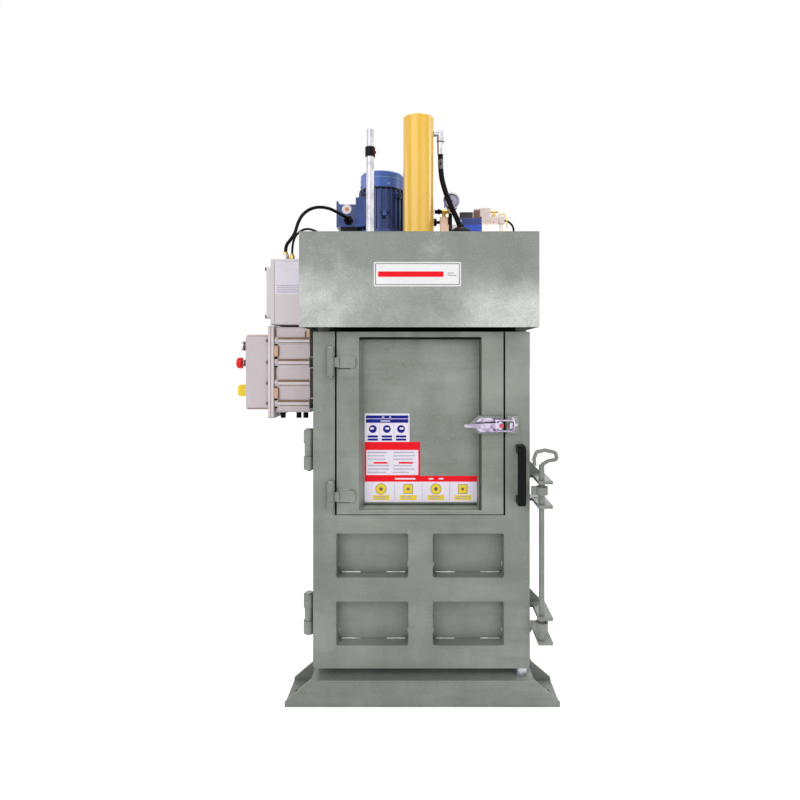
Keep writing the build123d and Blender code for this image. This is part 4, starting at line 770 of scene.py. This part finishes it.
lug_shade_pads = Shape("motor_lug_shade_pads", "frame", "black_plastic", "black_plastic")
lug_shade_pads.round_about(motor_x, motor_y, (45, 135, 225, 315), lug_shade_pad)
lug_shade_pads.done(0.6)

badge_x, badge_z = seen(384.4, 212.7, 66)
badge = Shape("motor_boss", "frame", "cowl_paint", "cowl_paint", "black_plastic")
badge.turned("Y", (badge_x, badge_z), ((74, 11), (67, 11), (65.5, 9.5)))
for u, v in ((-10, 4), (10, 4), (-2, -12)):
    place = (badge_x + u, badge_z + v)
    badge.turned("Y", place, ((74, 6.5), (66, 6.5), (64.5, 5)), look=1, steps=20)
    badge.turned("Y", place, ((65, 3), (63.5, 2.5)), steps=16)
badge.done(0.5)


def cowl_screw():
    profile = ((motor_y - 90, 3.8), (motor_y - 89, 5.2), (motor_y - 86.6, 5.2))
    cowl_trim.turned("Y", (motor_x, 1793), profile, steps=16)


cowl_trim = Shape("cowl_trim", "frame", "cowl_paint", "cowl_highlight_paint", "black_plastic")
# A pale ring along the cowl's seam and pale screw heads: painted highlight
cowl_trim.tube("Z", (motor_x, motor_y), 86.6, 88.0, 1817.5, 1820.5)
# A black ring below the cowl: painted shade in the gap there
cowl_trim.tube("Z", (motor_x, motor_y), 84.5, 92.0, 1773.4, 1779.6, look=1)
cowl_trim.round_about(motor_x, motor_y, (20, 110, 200, 290), cowl_screw)
cowl_trim.done()

# Valves, gauge and hose boot

valve_face = 98.0
valve_trim = Shape(
    "valve_trim", "frame", "coil_plastic", "coil_plastic", "beige_plastic", "black_plastic"
)
# A black block in the same gap as the black section of the valve block: painted shade
valve_trim.block((102.4, 116), (92, 150), (1633, 1678), 2, look=2)
valve_trim.tube("Y", (256.9, 1643), 8.6, 10.4, valve_face - 0.8, valve_face + 0.2, look=1)
valve_screw = ((valve_face, 4.5), (valve_face - 1.5, 4.5), (valve_face - 2.2, 3))
valve_trim.turned("Y", (279, 1646), valve_screw, look=1, steps=16)
valve_trim.block((297.3, 324), (110, 134), (1643, 1671), 4)
valve_trim.block((303, 322), (108.5, 135.5), (1616, 1624), 2, look=2)
valve_trim.done(0.8)

clip_outer = (
    (497.6, 218.6), (498.6, 214.6), (501.6, 213.0), (505.0, 214.2), (506.8, 218.6), (507.9, 228.6),
)
clip_inner = (
    (506.9, 228.8), (505.7, 218.8), (504.4, 215.4), (501.6, 214.2), (499.4, 215.6), (498.7, 218.8),
)
clip = Shape("connector_clip", "frame", "brass", "brass")
clip.prism("Y", [seen(x, y, 112) for x, y in clip_outer + clip_inner], 112, 115)
clip.done(0.8)

gauge_x, gauge_z = 110.0, 1707.0
gauge = Shape("gauge_rim", "frame", "chrome", "chrome")
gauge.tube("Y", (gauge_x, gauge_z), 26.2, 32.2, 13.6, 18.5)
gauge.tube("Y", (gauge_x, gauge_z), 31.7, 32.2, 18.5, 40)
gauge.done(0.8)
dial = Shape("gauge_dial", "frame", "coil_plastic", "dial_paper", "ink_dark")
dial.tube("Y", (gauge_x, gauge_z), 2.8, 25.4, 20.4, 20.95)
for step in range(28):
    angle = radians(225 - step * 10)
    along = Vector((cos(angle), sin(angle)))
    across = Vector((-sin(angle), cos(angle))) * 0.35
    inner, outer = 19.5 if step % 3 == 0 else 21.5, 24
    places = ((inner, -1), (outer, -1), (outer, 1), (inner, 1))
    points = [along * reach + across * side for reach, side in places]
    outline = [(gauge_x + point.x, gauge_z + point.y) for point in points]
    dial.prism("Y", outline, 20.25, 20.4, look=1)
dial.done()

boot = Shape("hose_boot", "frame", "black_rubber", "black_rubber")
boot_profile = (
    (1511.0, 63), (1517.0, 63), (1519.5, 60), (1545.0, 54), (1566.0, 48), (1580.0, 42.5),
    (1588.0, 35), (1594.0, 25), (1598.5, 16), (1604.0, 13.5), (1608.0, 11.5),
)
boot.turned("Z", (142.0, -23.5), boot_profile, steps=40)
boot.done()

# Feed door: painted shade along its lips, pale lines of painted highlight on the bottom lip, red
# grip on the latch

lip_front = -314.6
lip_shade = Shape("feed_door_lip_shade", "feed_door", "black_rubber", "black_rubber", "painted_shadow_dark")
# Painted shade: black under the top lip, dark along the right lip, black along the panel's bottom
# edge
top_lip_shade = ((lip_front, 1182.8), (-300, 1179.2), (-300, 1175.0), (lip_front, 1175.4))
lip_shade.prism("X", top_lip_shade, -203, 189.6)
right_lip_shade = ((183.5, lip_front), (190.8, lip_front), (189.2, -307), (182.6, -307))
lip_shade.prism("Z", right_lip_shade, 626, 1176, look=1)
lip_shade.prism("Y", rounded(-193, 179.5, 633.8, 636.6, 0.8), panel_front - 1.4, panel_front + 0.1)
lip_shade.done(0.6)

lip_highlights = Shape("feed_lip_highlight_beads", "feed_door", "green_paint", "pale_paint")
# Pale beads along the bottom lip, its front edge and its ends: painted highlight
lip_highlights.bead((-196, -294, 628.6), (182, -294, 628.6), 3.6, pitch=6)
lip_highlights.bead((-200, lip_front, 623.2), (187, lip_front, 623.2), 3.0, pitch=6)
for front_x, back_x in ((-203.5, -195), (190, 181.5)):
    lip_highlights.bead((front_x, -314.5, 624.2), (back_x, -277, 633.2), 3.0, pitch=6)
lip_highlights.done()

grip = Shape("latch_lever_grip", "lever", "red_plastic", "grip_red")
grip.prism("Y", rounded(244, 257, 895.5, 906.5, 2.5), -356.5, -350)
grip.done(1.2)

# Lower box: lines of painted shadow and pale lines of painted highlight on its ribs and seams, and
# its screws. One line is the upper box's.

rib_front, flange_front = -199.0, -207.0
umber = Shape("lower_box_umber_lines", "frame", "box_paint", "umber", "beige_plastic")
pale = Shape("lower_box_pale_lines", "frame", "box_paint", "pale_and_highlight_edge")
screws = Shape("lower_box_screw_ends", "frame", "bright_steel", "pale_and_highlight_edge", "black_plastic")
for rib in (960.0, 1029.0, 1100.0, 1174.0):
    umber.strip((-494, -386), (rib + 4.2, rib + 11.3), 1.2, rib_front, 0.5)
    umber.strip((-492, -386), (rib - 8.3, rib - 6.2), 0.8, rib_front, 0.5)
    pale.strip((-492, -386), (rib - 5.2, rib + 3.0), 1.5, rib_front, 0.9)
    pale.strip((-492, -386), (rib - 15.5, rib - 11.7), 1.0, box_front, 0.8)
    screw = ((box_front, 5), (-200.5, 5), (-201.5, 3.6))
    screws.turned("Y", (-501.5, rib + 2), screw, steps=16)
    cap = ((box_front, 4.2), (-198.5, 4.2))
    screws.turned("Y", (-500.5, rib - 13), cap, look=1, steps=16)
for shadow in ((934, 975), (1015, 1118), (1158, 1216)):
    umber.strip((-505.8, -499.5), shadow, 1.0, box_front, 0.4)
for lug in (995.0, 1138.0):
    umber.strip((-493.4, -489.5), (lug - 18, lug + 18), 1.0, box_front, 0.6)
    cap = ((box_front, 4.4), (-199.5, 4.4))
    screws.turned("Y", (-500, lug - 22), cap, look=1, steps=16)
umber.strip((-516.5, -515.5), (914, 1221), 0.3, flange_front, 0.4)
umber.strip((-600, -530), (939.5, 942.0), 1.0, box_front, 0.4)
umber.strip((-600, -526), (1190.3, 1192.7), 1.0, box_front, 0.4, look=1)
umber.strip((-507.5, -506.3), (1236, 1450), 0.5, box_front, 0.3)
umber.strip((-402, -396.3), (1184, 1206), 1.0, box_front, 4.4)
for edge in ((-524.5, -519), (-513.5, -508.5)):
    pale.strip(edge, (916, 1219), 1.0, flange_front, 0.5)
for shape in (umber, pale, screws):
    shape.done(0.3)

# Rims of the buttons and screws of the upper box's lid

start_place, stop_place = (-160, 1156), (-160, 1097)
rims = Shape("button_rims", "frame", "chrome", "bright_steel", "black_plastic")
rims.tube("X", start_place, 13.5, 16.0, -627, -612)
rims.tube("X", start_place, 13.5, 17.5, -612, -607, look=1)
rims.tube("X", stop_place, 6.8, 11.5, -621.5, -612.5)
rims.done(0.6)

lid_screws = Shape("upper_lid_screws", "frame", "bright_steel", "black_plastic")
for y in (-158.0, -46.0):
    for z in (1259.0, 1424.0):
        lid_screws.turned("X", (y, z), ((-542, 7), (-546, 7), (-547.5, 5.5)), steps=20)
lid_screws.done(0.4)

# Silver sleeve of the upper box's wide gland, and dark seam above the ferrule of the ram hose

gland_x, gland_y = -487, -115
sleeve = Shape("upper_box_gland_sleeve", "frame", "bright_steel", "bright_steel")
sleeve.turned("Z", (gland_x, gland_y), ((1455, 13.6), (1480, 13.6), (1482.5, 12)))
sleeve.prism("Z", disc(gland_x, gland_y, 14.6, 6), 1455, 1462)
sleeve.done(0.8)

seam = Shape("ferrule_seam", "frame", "black_rubber", "black_rubber")
seam.tube("Z", (67.5, 0), 12.3, 13.3, 1921.5, 1925.5)
seam.done()


# Floor, background and light


def background_rays(tree):
    """1 for the rays that see the background as white: camera, glossy and transmission."""
    rays = tree.nodes.new("ShaderNodeLightPath").outputs
    any_ray = rays["Is Camera Ray"]
    for kind in ("Is Glossy Ray", "Is Transmission Ray"):
        larger = tree.nodes.new("ShaderNodeMath")
        larger.operation = "MAXIMUM"
        tree.links.new(any_ray, larger.inputs[0])
        tree.links.new(rays[kind], larger.inputs[1])
        any_ray = larger.outputs[0]
    return any_ray


def pale_floor():
    """It glows where the background is seen, more with distance, and keeps the shadow."""
    near_glow = 0.62
    look = Look("pale_floor", 0.8)
    look.colour(look.mix(look.noise(3, 2), tint(232, 232, 233), tint(238, 238, 239)))
    distance = look.node("VectorMath", {0: look.place}, operation="LENGTH").outputs["Value"]
    far_glow = look.product(look.band(distance, 2.5, 9.0), 1 - near_glow)
    glow = look.product(background_rays(look.tree), look.count("ADD", far_glow, near_glow))
    look.feed(look.shader.inputs["Emission Strength"], glow)
    look.shader.inputs["Emission Color"].default_value = (1, 1, 1, 1)
    return look


half_floor = 40
corners = [(x * half_floor, y * half_floor, 0) for x, y in ((-1, -1), (1, -1), (1, 1), (-1, 1))]
floor_mesh = bpy.data.meshes.new("floor")
floor_mesh.from_pydata(corners, [], [(0, 1, 2, 3)])
floor_mesh.materials.append(pale_floor().material)
floor = bpy.data.objects.new("floor", floor_mesh)
bpy.context.scene.collection.objects.link(floor)

world = bpy.data.worlds.new("world")
bpy.context.scene.world = world
world.use_nodes = True
nodes, links = world.node_tree.nodes, world.node_tree.links
ambient = nodes["Background"]
ambient.inputs["Color"].default_value = (1, 1, 1, 1)
ambient.inputs["Strength"].default_value = 0.26
white = nodes.new("ShaderNodeBackground")
white.inputs["Color"].default_value = (1, 1, 1, 1)
white.inputs["Strength"].default_value = 1.0
choice = nodes.new("ShaderNodeMixShader")
links.new(background_rays(world.node_tree), choice.inputs[0])
links.new(ambient.outputs[0], choice.inputs[1])
links.new(white.outputs[0], choice.inputs[2])
links.new(choice.outputs[0], nodes["World Output"].inputs["Surface"])

# Lamps as name, place, size and power. They all face the middle of the machine.

lit_point = Vector((0, -0.1, 1.0))
for name, place, size, power in (
    ("key_lamp", (-1.9, -3.4, 2.9), (3.6, 3.6), 70),
    ("fill_lamp", (2.3, -3.0, 1.9), (3.2, 3.2), 36),
    ("top_lamp", (0.2, 0.6, 4.0), (2.4, 2.4), 34),
    ("left_lamp", (-3.4, 0.8, 2.0), (2.0, 2.0), 22),
    ("right_lamp", (3.4, 0.45, 2.6), (0.5, 1.7), 24),
    ("rear_lamp", (0.3, 4.2, 2.6), (2.4, 2.4), 44),
):
    data = bpy.data.lights.new(name, "AREA")
    data.shape = "ELLIPSE"
    data.size, data.size_y = size
    data.energy = power
    lamp = bpy.data.objects.new(name, data)
    lamp.location = place
    lamp.rotation_euler = (lit_point - Vector(place)).to_track_quat("-Z", "Y").to_euler()
    bpy.context.scene.collection.objects.link(lamp)
